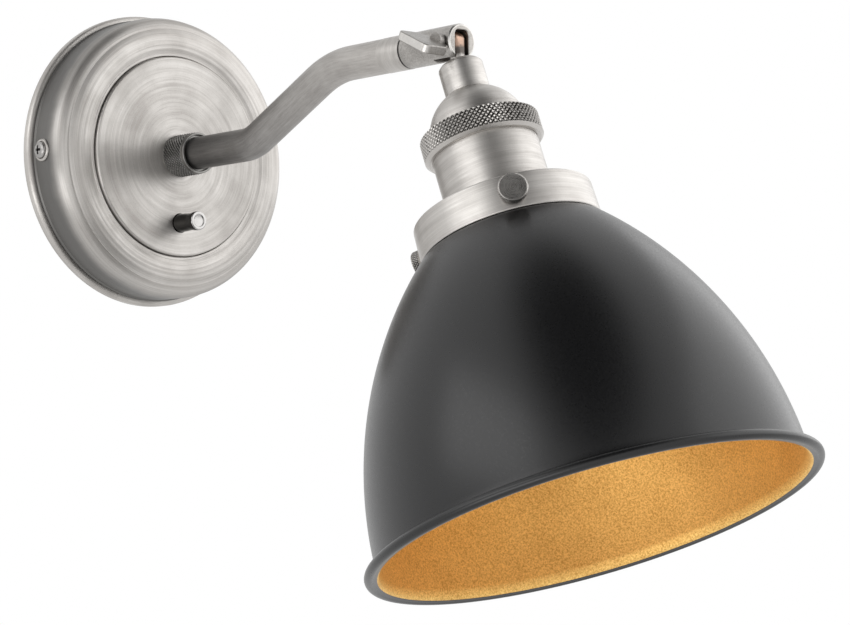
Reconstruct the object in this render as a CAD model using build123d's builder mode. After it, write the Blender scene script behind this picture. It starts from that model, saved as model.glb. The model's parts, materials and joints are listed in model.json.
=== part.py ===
from build123d import *
from math import cos, radians, sin, sqrt, tan
import os

# Bedside wall reading lamp, in millimetres.
# Origin: centre of the rose's back face, on the wall. +Z is up, -Y points out of the wall
# into the room and +X is to the right for someone who faces the wall.
# "Depth" is the distance from the wall. "Drop" is the distance below the head's pivot,
# measured along the head's own tilted axis.

os.makedirs("parts", exist_ok=True)

# ---------------------------------------------------------------- driving dimensions
# Clearances
running_gap = 0.05
fit_gap = 0.1
seam_gap = 0.3

# Wall plate
rim_height = 3.2
rim_width = 3.4
rim_round = 1.5
plate_thickness = 1.2
upstand_height = 13.6
upstand_wall = 1.4
cover_slip_gap = 0.9
wall_slot_spacing = 76.0
wall_slot_length = 14.0
wall_slot_width = 4.8
cable_hole_radius = 6.0
cable_hole_rim_gap = 2.9
grommet_bore_radius = 4.5
grommet_flange_overlap = 1.8
grommet_flange_thickness = 1.4

# Rose cover
cover_radius = 57.5
flange_step = 2.5
cover_wall = 1.0
cover_lip = 0.5
cover_lip_height = 0.6
cover_seam = 0.4
shoulder_round = 6.0
shoulder_depth = 20.5
bulge_rise = 1.45
bulge_inner_rise = 1.1

# Centre disc
disc_radius = 40.7
disc_front_depth = 22.9
disc_thickness = 3.2
disc_edge_round = 0.8
disc_side_gap = 0.4

# Screws that hold the cover
cover_screw_depth = 9.5
cover_screw_radius = 1.9
cover_screw_head_radius = 3.4
cover_screw_head_height = 1.9
cover_screw_head_taper = 12.0
cover_screw_length = 7.0
cup_washer_radius = 4.6
cup_washer_height = 1.0
cup_washer_taper = 20.0
screw_boss_radius = 3.6
screw_boss_length = 4.0
cross_slot_length = 3.8
cross_slot_width = 0.9
cross_slot_depth = 1.0

# Threaded tube that clamps the arm to the rose
nipple_radius = 4.95
nipple_wall = 1.45
nipple_inner_reach = 5.5
nipple_arm_reach = 5.5
rose_nut_flats = 14.0
rose_nut_thickness = 3.0
rose_washer_radius = 8.5
rose_washer_thickness = 0.8

# Knurled bushing round the arm
bushing_radius = 8.6
bushing_length = 13.3
bushing_lip_radius = 8.3
bushing_lip_length = 1.9
bushing_web = 1.6
bushing_mouth_radius = 7.3
bushing_mouth_depth = 1.5

# Push switch
switch_height = -27.3
switch_body_side = 15.0
switch_body_length = 13.0
switch_body_round = 1.0
switch_pocket_depth = 2.0
switch_collar_radius = 5.0
switch_collar_reach = 1.5
switch_nut_radius = 7.0
switch_nut_thickness = 1.3
button_radius = 3.7
button_waist_radius = 3.45
button_tip_radius = 3.85
button_projection = 12.5
button_tip_length = 1.6
button_waist_distance = 4.8
button_stem_length = 7.8
button_travel = 2.5
button_end_room = 0.5

# Terminal block, earth post and leads
lead_radius = 1.15
lead_side_step = 1.3
lead_depth = 8.5
lead_turn_radius = 5.0
lead_end_gap = 4.2
switch_lead_turn_radius = 3.0
lead_insertion = 4.0
pole_spacing = 10.0
pole_count = 3
block_width = 32.0
block_height = 16.0
block_grommet_gap = 2.7
block_thickness = 14.0
block_round = 1.5
pole_tube_radius = 2.6
pole_tube_wall = 0.9
pole_tube_length = 12.0
pole_screw_radius = 1.5
pole_screw_head_radius = 1.9
pole_screw_head_height = 1.6
pole_screw_spacing = 7.0
pole_screw_sink = 1.0
pole_slot_width = 0.45
pole_slot_depth = 0.8
block_screw_radius = 1.3
block_screw_head_radius = 2.3
block_screw_head_height = 1.3
earth_post_x = -24.0
earth_post_height = -24.0
earth_post_radius = 2.0
earth_post_length = 11.0
earth_head_radius = 3.6
earth_head_thickness = 2.2

# Arm
arm_radius = 6.5
arm_wall = 1.5
arm_rise = 24.3
arm_bend_angle = 26.0
arm_foot_length = 29.7
arm_first_bend_radius = 22.0
arm_second_bend_radius = 45.0
arm_end_length = 14.3
ferrule_length = 12.1
ferrule_swell = 0.1
ferrule_bore_radius = 3.0
ferrule_spigot_length = 8.0
knuckle_spigot_radius = 4.2
knuckle_spigot_length = 6.0

# Knuckle and pivot
knuckle_length = 33.7
knuckle_radius = 6.5
knuckle_chamfer = 0.5
pivot_to_knuckle_end = 4.6
slot_width = 6.6
slot_roof_rise = 4.3
slot_corner_round = 2.0
slot_edge_chamfer = 0.25
slot_back_reach = 7.2
tongue_thickness = 5.8
tongue_radius = 4.1
tongue_round = 1.6
tongue_taper_drop = 8.0
friction_washer_radius = 2.4
stem_radius = 2.3
stem_length = 17.0
pivot_screw_radius = 1.75

# Wing screw
wing_hub_radius = 3.0
wing_hub_length = 2.4
wing_hub_gap = 0.2
wing_root_gap = 0.9
wing_length = 12.8
wing_width = 17.0
wing_root_width = 11.0
wing_flare_length = 3.2
wing_thickness = 3.4
wing_corner_round = 2.6
wing_root_round = 0.9
wing_edge_round = 0.5
wing_lean = 26.5
wing_offset = 1.5

# Head: neck, dome and knurled ring
head_tilt = 20.7
neck_top_drop = 8.85
neck_radius = 8.2
neck_length = 12.2
neck_chamfer = 1.2
neck_roof = 3.5
neck_bore_radius = 4.3
neck_spigot_radius = 5.6
neck_spigot_length = 6.0
stem_nut_flats = 7.0
stem_nut_thickness = 3.0
dome_radius = 18.1
dome_wall = 1.3
dome_skirt = 2.2
dome_nut_flats = 13.0
dome_nut_thickness = 3.0
ring_radius = 22.0
ring_above_equator = 2.1
ring_height = 8.9
ring_top_chamfer = 0.5
ring_bottom_chamfer = 1.3

# Head: lamp holder
holder_radius = 19.4
holder_length = 27.1
holder_skirt_radius = 18.4
holder_skirt_length = 9.5
holder_bore_radius = 17.2
insert_radius = 17.0
insert_flange_radius = 18.1
insert_flange_height = 4.2
insert_floor_thickness = 5.5
insert_length = 28.5
well_radius = 10.0
well_depth = 4.2
socket_bore_radius = 13.3
socket_wall = 0.6
socket_depth = 18.3
contact_width = 5.0
contact_thickness = 0.5
contact_lift = 3.0
contact_foot = 4.0
contact_reach = 10.0
holder_screw_offset = 9.0
holder_screw_radius = 1.5
holder_screw_head_radius = 2.4
holder_screw_head_height = 2.0
holder_screw_length = 7.0
head_lead_side_step = 1.6
head_lead_start_gap = 0.6
head_lead_turn_radius = 5.5
head_lead_knee_gap = 2.0
head_lead_fall = 4.5

# Head: collar and its screws
collar_radius = 33.0
collar_height = 13.1
collar_wall = 1.5
collar_edge_round = 1.0
gallery_ring_radius = 24.5
gallery_ring_height = 3.5
gallery_notch_width = 3.0
gallery_notch_depth = 1.6
gallery_notch_count = 4
thumb_screw_count = 3
thumb_first_angle = 129.0
thumb_rise = 6.3
thumb_shank_radius = 1.95
thumb_head_radius = 5.25
thumb_head_length = 3.5
thumb_head_gap = 0.8
thumb_head_chamfer = 0.45

# Shade
shade_wall = 0.9
shade_neck_gap = 1.1
shade_neck_height = 10.3
shade_neck_lip = 0.8
shade_collar_gap = 0.2
shade_depth = 104.6
shade_rim_radius = 76.1
rim_flare_radius = 3.0
rim_bead_radius = 1.77
rim_bead_offset = 2.88

# ---------------------------------------------------------------- worked-out places
# Rose, as depths from the wall
rose_radius = cover_radius + flange_step
cover_start = rim_height + cover_seam
screw_seat_radius = cover_radius + cup_washer_height / 2
upstand_radius = cover_radius - cover_wall - cover_slip_gap
grommet_flange_radius = cable_hole_radius + grommet_flange_overlap
cable_hole_height = upstand_radius - upstand_wall - cable_hole_rim_gap - grommet_flange_radius
block_top_height = cable_hole_height - grommet_flange_radius - block_grommet_gap
block_bottom_height = block_top_height - block_height
disc_seat_depth = disc_front_depth - disc_thickness
cover_inside_depth = disc_seat_depth - cover_wall
disc_pocket_radius = disc_radius + disc_side_gap
nipple_hole_radius = nipple_radius + fit_gap
nipple_inner_end = cover_inside_depth - nipple_inner_reach
arm_start_depth = disc_front_depth + bushing_web
bushing_front_depth = disc_front_depth + bushing_length
switch_back_depth = cover_inside_depth - switch_body_length
switch_collar_end = disc_seat_depth + switch_collar_reach
button_back_depth = disc_front_depth - button_stem_length
button_tip_depth = disc_front_depth + button_projection

# Arm and pivot
half_bend = radians(arm_bend_angle / 2)
arm_first_corner_depth = bushing_front_depth + arm_foot_length
arm_first_corner_depth += arm_first_bend_radius * tan(half_bend)
arm_second_corner_depth = arm_first_corner_depth + arm_rise / tan(2 * half_bend)
arm_end_depth = arm_second_corner_depth + arm_second_bend_radius * tan(half_bend) + arm_end_length
ferrule_end_depth = arm_end_depth + ferrule_length
knuckle_start_depth = ferrule_end_depth + seam_gap
knuckle_end_depth = knuckle_start_depth + knuckle_length
pivot_depth = knuckle_end_depth - pivot_to_knuckle_end
slot_back_depth = pivot_depth - slot_back_reach
pivot_hole_radius = pivot_screw_radius + running_gap

# Head, as drops below the pivot
neck_bottom = neck_top_drop + neck_length
dome_equator = neck_bottom + sqrt(dome_radius**2 - neck_radius**2)
dome_inner_radius = dome_radius - dome_wall
dome_flat_inside = neck_bottom + dome_wall
dome_flat_radius = sqrt(dome_inner_radius**2 - (dome_equator - dome_flat_inside) ** 2)
holder_top = dome_equator + dome_skirt
ring_top = dome_equator - ring_above_equator
ring_bottom = ring_top + ring_height
insert_ledge = holder_top + insert_flange_height
well_floor = insert_ledge + insert_floor_thickness
socket_floor = well_floor + well_depth
collar_top = holder_top + holder_length
collar_roof = collar_top + collar_wall
collar_bottom = collar_top + collar_height
thumb_drop = collar_bottom - thumb_rise
shade_top = collar_bottom + shade_collar_gap
shade_neck_radius = collar_radius - collar_wall - shade_neck_gap
shade_rim = collar_bottom + shade_depth

# The shade's wall is one arc that ends parallel to the axis at the rim
shade_gain = shade_rim_radius - collar_radius
shade_arc_radius = (shade_gain**2 + (shade_rim - shade_top) ** 2) / (2 * shade_gain)
shade_arc_center = shade_rim_radius - shade_arc_radius
flare_center = shade_rim_radius + rim_flare_radius
flare_drop = shade_rim - rim_flare_radius

# ---------------------------------------------------------------- planes and axes
pivot = Vector(0, -pivot_depth, arm_rise)
head_down = Vector(0, -sin(radians(head_tilt)), -cos(radians(head_tilt)))

# Faces the room: local x to the right, local y up, local z out of the wall
WALL = Plane(origin=(0, 0, 0), x_dir=(1, 0, 0), z_dir=(0, -1, 0))
ARM_END = Plane(origin=(0, 0, arm_rise), x_dir=(1, 0, 0), z_dir=(0, -1, 0))
# Half section of the rose: local x is the radius, local y the depth
ROSE_SECTION = Plane(origin=(0, 0, 0), x_dir=(1, 0, 0), z_dir=(0, 0, -1))
ARM_SECTION = Plane(origin=(0, 0, arm_rise), x_dir=(1, 0, 0), z_dir=(0, 0, -1))
ARM_AXIS = Axis(origin=(0, 0, arm_rise), direction=(0, -1, 0))
# Seen from the lamp's left side: local x is the depth, local y up, local z to the left
SIDE = Plane(origin=(0, 0, 0), x_dir=(0, -1, 0), z_dir=(-1, 0, 0))
HINGE = Plane(origin=pivot, x_dir=(0, -1, 0), z_dir=(-1, 0, 0))
# Across the head: local z runs down the head's axis, local y to the front
HEAD = Plane(origin=pivot, x_dir=(1, 0, 0), z_dir=head_down)
# Half section of the head: local x is the radius, local y the drop
HEAD_SECTION = Plane(origin=pivot, x_dir=(1, 0, 0), z_dir=Vector(1, 0, 0).cross(head_down))
# Front-to-back section of the head: local x to the front, local y the drop
HEAD_SIDE = Plane(origin=pivot, x_dir=HEAD.y_dir, z_dir=HEAD.y_dir.cross(head_down))
HEAD_AXIS = Axis(origin=pivot, direction=head_down)


def shade_outer_radius(drop):
    return shade_arc_center + sqrt(shade_arc_radius**2 - (shade_rim - drop) ** 2)


def shade_inner_radius(drop):
    return shade_arc_center + sqrt((shade_arc_radius - shade_wall) ** 2 - (shade_rim - drop) ** 2)


def save(builder, name):
    builder.part.label = name
    export_step(builder.part, f"parts/{name}.step")


# ---------------------------------------------------------------- rose
# Pressed plate that is screwed to the wall, with a rolled rim and an upstand for the cover
with BuildPart() as wall_plate:
    with BuildSketch(ROSE_SECTION):
        Polygon(
            (0, 0),
            (rose_radius, 0),
            (rose_radius, rim_height),
            (rose_radius - rim_width, rim_height),
            (rose_radius - rim_width, plate_thickness),
            (upstand_radius, plate_thickness),
            (upstand_radius, upstand_height),
            (upstand_radius - upstand_wall, upstand_height),
            (upstand_radius - upstand_wall, plate_thickness),
            (0, plate_thickness),
            align=None,
        )
    revolve(axis=Axis.Y)
    rim_edges = edges().filter_by(GeomType.CIRCLE).filter_by(lambda e: e.radius == rose_radius)
    fillet(rim_edges.sort_by(Axis.Y)[0], rim_round)
    # Tapped bosses inside the upstand, left and right
    for side in (Plane.YZ, Plane.ZY):
        spot = side.to_local_coords(Vector(0, -cover_screw_depth, 0))
        with BuildSketch(side.offset(upstand_radius - upstand_wall / 2)):
            with Locations(spot):
                Circle(screw_boss_radius)
        extrude(amount=-screw_boss_length)
        with BuildSketch(side.offset(cover_radius)):
            with Locations(spot):
                Circle(cover_screw_radius + running_gap)
        extrude(amount=-2 * screw_boss_length, mode=Mode.SUBTRACT)
    with BuildSketch(WALL):
        with GridLocations(wall_slot_spacing, 0, 2, 1):
            SlotOverall(wall_slot_length, wall_slot_width)
        with Locations((0, cable_hole_height)):
            Circle(cable_hole_radius)
        with Locations((earth_post_x, earth_post_height)):
            Circle(earth_post_radius + fit_gap)
        with Locations((lead_side_step + pole_spacing / 2, block_bottom_height + block_height / 2)):
            Circle(block_screw_radius + running_gap)
    extrude(amount=plate_thickness, mode=Mode.SUBTRACT)
save(wall_plate, "wall_plate")

# Rubber ring in the cable hole
with BuildPart() as cable_grommet:
    with BuildSketch(WALL):
        with Locations((0, cable_hole_height)):
            Circle(cable_hole_radius - running_gap)
            Circle(grommet_bore_radius, mode=Mode.SUBTRACT)
    extrude(amount=plate_thickness)
    with BuildSketch(WALL.offset(plate_thickness)):
        with Locations((0, cable_hole_height)):
            Circle(grommet_flange_radius)
            Circle(grommet_bore_radius, mode=Mode.SUBTRACT)
    extrude(amount=grommet_flange_thickness)
save(cable_grommet, "cable_grommet")

# Spun cover: lip, straight side, round shoulder, low bulge and a recess for the disc
with BuildPart() as rose_cover:
    with BuildSketch(ROSE_SECTION):
        shoulder_center = cover_radius - shoulder_round
        shoulder_start = shoulder_depth - shoulder_round
        with BuildLine():
            Polyline(
                (cover_radius - cover_wall, cover_start),
                (cover_radius + cover_lip, cover_start),
                (cover_radius + cover_lip, cover_start + cover_lip_height),
                (cover_radius, cover_start + cover_lip_height + cover_lip),
                (cover_radius, shoulder_start),
            )
            CenterArc((shoulder_center, shoulder_start), shoulder_round, 0, 90)
            ThreePointArc(
                (shoulder_center, shoulder_depth),
                ((shoulder_center + disc_pocket_radius) / 2, shoulder_depth + bulge_rise),
                (disc_pocket_radius, shoulder_depth + bulge_inner_rise),
            )
            Polyline(
                (disc_pocket_radius, shoulder_depth + bulge_inner_rise),
                (disc_pocket_radius, disc_seat_depth),
                (nipple_hole_radius, disc_seat_depth),
                (nipple_hole_radius, cover_inside_depth),
                (disc_pocket_radius + cover_wall, cover_inside_depth),
                (disc_pocket_radius + cover_wall, shoulder_depth + bulge_inner_rise - cover_wall),
            )
            ThreePointArc(
                (disc_pocket_radius + cover_wall, shoulder_depth + bulge_inner_rise - cover_wall),
                ((shoulder_center + disc_pocket_radius) / 2, shoulder_depth + bulge_rise - cover_wall),
                (shoulder_center, shoulder_depth - cover_wall),
            )
            CenterArc((shoulder_center, shoulder_start), shoulder_round - cover_wall, 90, -90)
            Line(
                (cover_radius - cover_wall, shoulder_start),
                (cover_radius - cover_wall, cover_start),
            )
        make_face()
    revolve(axis=Axis.Y)
    # Clearance holes for the two side screws and for the switch's collar
    with BuildSketch(Plane.YZ.offset(-cover_radius - cover_lip)):
        with Locations((-cover_screw_depth, 0)):
            Circle(cover_screw_radius + fit_gap)
    extrude(amount=2 * (cover_radius + cover_lip), mode=Mode.SUBTRACT)
    with BuildSketch(WALL.offset(cover_inside_depth)):
        with Locations((0, switch_height)):
            Circle(switch_collar_radius + fit_gap)
    extrude(amount=cover_wall, mode=Mode.SUBTRACT)
save(rose_cover, "rose_cover")

# Two pan-head screws with cross slots, and the cup washers under their heads
with BuildPart() as cover_screws:
    for side in (Plane.YZ, Plane.ZY):
        spot = side.to_local_coords(Vector(0, -cover_screw_depth, 0))
        with BuildSketch(side.offset(screw_seat_radius)):
            with Locations(spot):
                Circle(cover_screw_head_radius)
        extrude(amount=cover_screw_head_height, taper=cover_screw_head_taper)
        with BuildSketch(side.offset(screw_seat_radius)):
            with Locations(spot):
                Circle(cover_screw_radius)
        extrude(amount=-cover_screw_length)
        with BuildSketch(side.offset(screw_seat_radius + cover_screw_head_height)):
            with Locations(spot):
                Rectangle(cross_slot_length, cross_slot_width)
                Rectangle(cross_slot_width, cross_slot_length)
        extrude(amount=-cross_slot_depth, mode=Mode.SUBTRACT)
save(cover_screws, "cover_screws")

with BuildPart() as cup_washers:
    for side in (Plane.YZ, Plane.ZY):
        spot = side.to_local_coords(Vector(0, -cover_screw_depth, 0))
        with BuildSketch(side.offset(cover_radius)):
            with Locations(spot):
                Circle(cup_washer_radius)
        extrude(amount=cup_washer_height, taper=cup_washer_taper)
        with BuildSketch(side.offset(screw_seat_radius)):
            with Locations(spot):
                Circle(cover_screw_head_radius + running_gap)
        extrude(amount=cup_washer_height, mode=Mode.SUBTRACT)
        with BuildSketch(side.offset(cover_radius)):
            with Locations(spot):
                Circle(cover_screw_radius + fit_gap)
        extrude(amount=cup_washer_height, mode=Mode.SUBTRACT)
save(cup_washers, "cup_washers")

# Turned disc in the cover's recess, hollowed behind for the switch's ring nut
with BuildPart() as centre_disc:
    with BuildSketch(WALL.offset(disc_seat_depth)):
        Circle(disc_radius)
        Circle(nipple_hole_radius, mode=Mode.SUBTRACT)
        with Locations((0, switch_height)):
            Circle(button_radius + seam_gap, mode=Mode.SUBTRACT)
    extrude(amount=disc_thickness)
    front_rim = edges().filter_by(GeomType.CIRCLE).filter_by(lambda e: e.radius == disc_radius)
    fillet(front_rim.sort_by(Axis.Y)[0], disc_edge_round)
    with BuildSketch(WALL.offset(disc_seat_depth)):
        with Locations((0, switch_height)):
            Circle(switch_nut_radius + seam_gap)
    extrude(amount=switch_collar_reach + fit_gap, mode=Mode.SUBTRACT)
save(centre_disc, "centre_disc")

# Knurled bushing: web on the disc, long bore for the arm, smooth lip with an open mouth
with BuildPart() as arm_bushing:
    with BuildSketch(ROSE_SECTION):
        Polygon(
            (nipple_hole_radius, disc_front_depth),
            (bushing_radius, disc_front_depth),
            (bushing_radius, bushing_front_depth - bushing_lip_length),
            (bushing_lip_radius, bushing_front_depth - bushing_lip_length),
            (bushing_lip_radius, bushing_front_depth - seam_gap),
            (bushing_lip_radius - seam_gap, bushing_front_depth),
            (bushing_mouth_radius, bushing_front_depth),
            (bushing_mouth_radius, bushing_front_depth - bushing_mouth_depth),
            (arm_radius + running_gap, bushing_front_depth - bushing_mouth_depth),
            (arm_radius + running_gap, arm_start_depth),
            (nipple_hole_radius, arm_start_depth),
            align=None,
        )
    revolve(axis=Axis.Y)
save(arm_bushing, "arm_bushing")

# Hollow threaded tube through cover, disc and bushing into the arm, with its nut and washer
with BuildPart() as hollow_nipple:
    with BuildSketch(WALL.offset(nipple_inner_end)):
        Circle(nipple_radius)
        Circle(nipple_radius - nipple_wall, mode=Mode.SUBTRACT)
    extrude(amount=arm_start_depth + nipple_arm_reach - nipple_inner_end)
save(hollow_nipple, "hollow_nipple")

with BuildPart() as nipple_washer:
    with BuildSketch(WALL.offset(cover_inside_depth - rose_washer_thickness)):
        Circle(rose_washer_radius)
        Circle(nipple_hole_radius, mode=Mode.SUBTRACT)
    extrude(amount=rose_washer_thickness)
save(nipple_washer, "nipple_washer")

with BuildPart() as nipple_nut:
    with BuildSketch(WALL.offset(cover_inside_depth - rose_washer_thickness - rose_nut_thickness)):
        RegularPolygon(rose_nut_flats / 2, 6, major_radius=False)
        Circle(nipple_radius + running_gap, mode=Mode.SUBTRACT)
    extrude(amount=rose_nut_thickness)
save(nipple_nut, "nipple_nut")

# ---------------------------------------------------------------- switch
# Body behind the cover, with a threaded collar that the push button slides in
with BuildPart() as switch_body:
    with BuildSketch(WALL.offset(switch_back_depth)):
        with Locations((0, switch_height)):
            RectangleRounded(switch_body_side, switch_body_side, switch_body_round)
    extrude(amount=switch_body_length)
    with BuildSketch(WALL.offset(cover_inside_depth)):
        with Locations((0, switch_height)):
            Circle(switch_collar_radius)
    extrude(amount=switch_collar_end - cover_inside_depth)
    bore_back = button_back_depth - button_travel - button_end_room
    with BuildSketch(WALL.offset(bore_back)):
        with Locations((0, switch_height)):
            Circle(button_radius + running_gap)
    extrude(amount=switch_collar_end - bore_back, mode=Mode.SUBTRACT)
    # Lead pockets in the top and in the right side
    with BuildSketch(Plane.XY.offset(switch_height + switch_body_side / 2)):
        with Locations((-lead_side_step, -lead_depth)):
            Circle(lead_radius + fit_gap)
    extrude(amount=-switch_pocket_depth, mode=Mode.SUBTRACT)
    with BuildSketch(Plane.YZ.offset(switch_body_side / 2)):
        with Locations((-lead_depth, switch_height)):
            Circle(lead_radius + fit_gap)
    extrude(amount=-switch_pocket_depth, mode=Mode.SUBTRACT)
save(switch_body, "switch_body")

with BuildPart() as switch_nut:
    with BuildSketch(WALL.offset(disc_seat_depth)):
        with Locations((0, switch_height)):
            Circle(switch_nut_radius)
            Circle(switch_collar_radius + running_gap, mode=Mode.SUBTRACT)
    extrude(amount=switch_nut_thickness)
save(switch_nut, "switch_nut")

with BuildPart() as switch_button:
    button_axis = Axis(origin=(0, 0, switch_height), direction=(0, -1, 0))
    with BuildSketch(Plane(origin=(0, 0, switch_height), x_dir=(1, 0, 0), z_dir=(0, 0, -1))):
        with BuildLine():
            Polyline(
                (0, button_back_depth),
                (button_radius, button_back_depth),
                (button_radius, disc_front_depth + button_travel),
            )
            ThreePointArc(
                (button_radius, disc_front_depth + button_travel),
                (button_waist_radius, button_tip_depth - button_waist_distance),
                (button_tip_radius, button_tip_depth - button_tip_length),
            )
            Polyline(
                (button_tip_radius, button_tip_depth - button_tip_length),
                (button_tip_radius, button_tip_depth - seam_gap),
                (button_tip_radius - seam_gap, button_tip_depth),
                (0, button_tip_depth),
                (0, button_back_depth),
            )
        make_face()
    revolve(axis=button_axis)
save(switch_button, "switch_button")

# ---------------------------------------------------------------- wiring inside the rose
pole_places = [lead_side_step + (i - 1) * pole_spacing for i in range(pole_count)]
block_middle_height = block_bottom_height + block_height / 2
block_front_depth = plate_thickness + block_thickness

with BuildPart() as terminal_block:
    with BuildSketch(WALL.offset(plate_thickness)):
        with Locations((lead_side_step, block_middle_height)):
            RectangleRounded(block_width, block_height, block_round)
        with Locations((lead_side_step + pole_spacing / 2, block_middle_height)):
            Circle(block_screw_radius + running_gap, mode=Mode.SUBTRACT)
    extrude(amount=block_thickness)
    with BuildSketch(Plane.XY.offset(block_bottom_height)):
        for place in pole_places:
            with Locations((place, -lead_depth)):
                Circle(pole_tube_radius + running_gap)
    extrude(amount=block_height, mode=Mode.SUBTRACT)
    with BuildSketch(WALL.offset(lead_depth)):
        for place in pole_places:
            with Locations((place, block_middle_height)):
                with GridLocations(0, pole_screw_spacing, 1, 2):
                    Circle(pole_screw_head_radius + running_gap)
    extrude(amount=block_front_depth - lead_depth, mode=Mode.SUBTRACT)
save(terminal_block, "terminal_block")

with BuildPart() as terminal_tubes:
    with BuildSketch(Plane.XY.offset(block_middle_height - pole_tube_length / 2)):
        for place in pole_places:
            with Locations((place, -lead_depth)):
                Circle(pole_tube_radius)
                Circle(pole_tube_radius - pole_tube_wall, mode=Mode.SUBTRACT)
    extrude(amount=pole_tube_length)
    with BuildSketch(WALL.offset(lead_depth)):
        for place in pole_places:
            with Locations((place, block_middle_height)):
                with GridLocations(0, pole_screw_spacing, 1, 2):
                    Circle(pole_screw_radius + running_gap)
    extrude(amount=pole_tube_radius, mode=Mode.SUBTRACT)
save(terminal_tubes, "terminal_tubes")

with BuildPart() as terminal_screws:
    screw_tip = lead_depth + lead_radius + running_gap
    head_front = block_front_depth - pole_screw_sink
    with BuildSketch(WALL.offset(screw_tip)):
        for place in pole_places:
            with Locations((place, block_middle_height)):
                with GridLocations(0, pole_screw_spacing, 1, 2):
                    Circle(pole_screw_radius)
    extrude(amount=head_front - screw_tip)
    with BuildSketch(WALL.offset(head_front - pole_screw_head_height)):
        for place in pole_places:
            with Locations((place, block_middle_height)):
                with GridLocations(0, pole_screw_spacing, 1, 2):
                    Circle(pole_screw_head_radius)
    extrude(amount=pole_screw_head_height)
    with BuildSketch(WALL.offset(head_front)):
        for place in pole_places:
            with Locations((place, block_middle_height)):
                with GridLocations(0, pole_screw_spacing, 1, 2):
                    Rectangle(2 * pole_screw_head_radius, pole_slot_width)
    extrude(amount=-pole_slot_depth, mode=Mode.SUBTRACT)
save(terminal_screws, "terminal_screws")

with BuildPart() as block_screw:
    with BuildSketch(WALL):
        with Locations((lead_side_step + pole_spacing / 2, block_middle_height)):
            Circle(block_screw_radius)
    extrude(amount=block_front_depth)
    with BuildSketch(WALL.offset(block_front_depth)):
        with Locations((lead_side_step + pole_spacing / 2, block_middle_height)):
            Circle(block_screw_head_radius)
    extrude(amount=block_screw_head_height)
save(block_screw, "block_screw")

with BuildPart() as earth_post:
    with BuildSketch(WALL):
        with Locations((earth_post_x, earth_post_height)):
            Circle(earth_post_radius)
    extrude(amount=earth_post_length)
    for level in (plate_thickness, lead_depth - lead_radius - earth_head_thickness):
        with BuildSketch(WALL.offset(level)):
            with Locations((earth_post_x, earth_post_height)):
                RegularPolygon(earth_head_radius, 6, major_radius=False)
        extrude(amount=earth_head_thickness)
save(earth_post, "earth_post")


def lead_along(path_line, name):
    with BuildPart() as lead:
        with BuildSketch(Plane(origin=path_line @ 0, z_dir=path_line % 0)):
            Circle(lead_radius)
        sweep(path=path_line)
    save(lead, name)


# Arm centre line after the nipple, as (depth, height)
arm_corners = [(arm_first_corner_depth, 0), (arm_second_corner_depth, arm_rise)]
arm_bends = [arm_first_bend_radius, arm_second_bend_radius]
lead_end_depth = slot_back_depth - lead_end_gap

# Neutral: from the block, round into the nipple and through the arm to the knuckle
with BuildLine(SIDE.offset(-lead_side_step)) as neutral_path:
    FilletPolyline(
        (lead_depth, block_bottom_height + lead_insertion),
        (lead_depth, 0),
        *arm_corners,
        (lead_end_depth, arm_rise),
        radius=[lead_turn_radius, *arm_bends],
    )
lead_along(neutral_path.line, "neutral_lead")

# Switched live: from the switch, round into the nipple and through the arm
with BuildLine(SIDE.offset(lead_side_step)) as live_path:
    FilletPolyline(
        (lead_depth, switch_height + switch_body_side / 2 - switch_pocket_depth + fit_gap),
        (lead_depth, 0),
        *arm_corners,
        (lead_end_depth, arm_rise),
        radius=[lead_turn_radius, *arm_bends],
    )
lead_along(live_path.line, "live_lead")

# Short leads in one plane behind the cover: block to switch, and block to earth post
with BuildLine(WALL.offset(lead_depth)) as link_path:
    FilletPolyline(
        (pole_places[2], block_bottom_height + lead_insertion),
        (pole_places[2], switch_height),
        (switch_body_side / 2 - switch_pocket_depth + fit_gap, switch_height),
        radius=switch_lead_turn_radius,
    )
lead_along(link_path.line, "switch_lead")

with BuildLine(WALL.offset(lead_depth)) as earth_path:
    FilletPolyline(
        (pole_places[0], block_bottom_height + lead_insertion),
        (pole_places[0], earth_post_height),
        (earth_post_x + earth_post_radius, earth_post_height),
        radius=lead_turn_radius,
    )
lead_along(earth_path.line, "earth_lead")

# ---------------------------------------------------------------- arm
with BuildPart() as arm_tube:
    with BuildLine(SIDE) as arm_path:
        FilletPolyline(
            (arm_start_depth, 0),
            *arm_corners,
            (arm_end_depth, arm_rise),
            radius=arm_bends,
        )
    with BuildSketch(WALL.offset(arm_start_depth)):
        Circle(arm_radius)
        Circle(arm_radius - arm_wall, mode=Mode.SUBTRACT)
    sweep()
save(arm_tube, "arm_tube")

# Lighter sleeve at the arm's end, with a spigot into the arm and one into the knuckle
with BuildPart() as arm_ferrule:
    with BuildSketch(ARM_SECTION):
        Polygon(
            (ferrule_bore_radius, arm_end_depth - ferrule_spigot_length),
            (arm_radius - arm_wall - running_gap, arm_end_depth - ferrule_spigot_length),
            (arm_radius - arm_wall - running_gap, arm_end_depth),
            (arm_radius + ferrule_swell, arm_end_depth),
            (arm_radius + ferrule_swell, ferrule_end_depth),
            (knuckle_spigot_radius, ferrule_end_depth),
            (knuckle_spigot_radius, ferrule_end_depth + knuckle_spigot_length),
            (ferrule_bore_radius, ferrule_end_depth + knuckle_spigot_length),
            align=None,
        )
    revolve(axis=ARM_AXIS)
save(arm_ferrule, "arm_ferrule")

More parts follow.
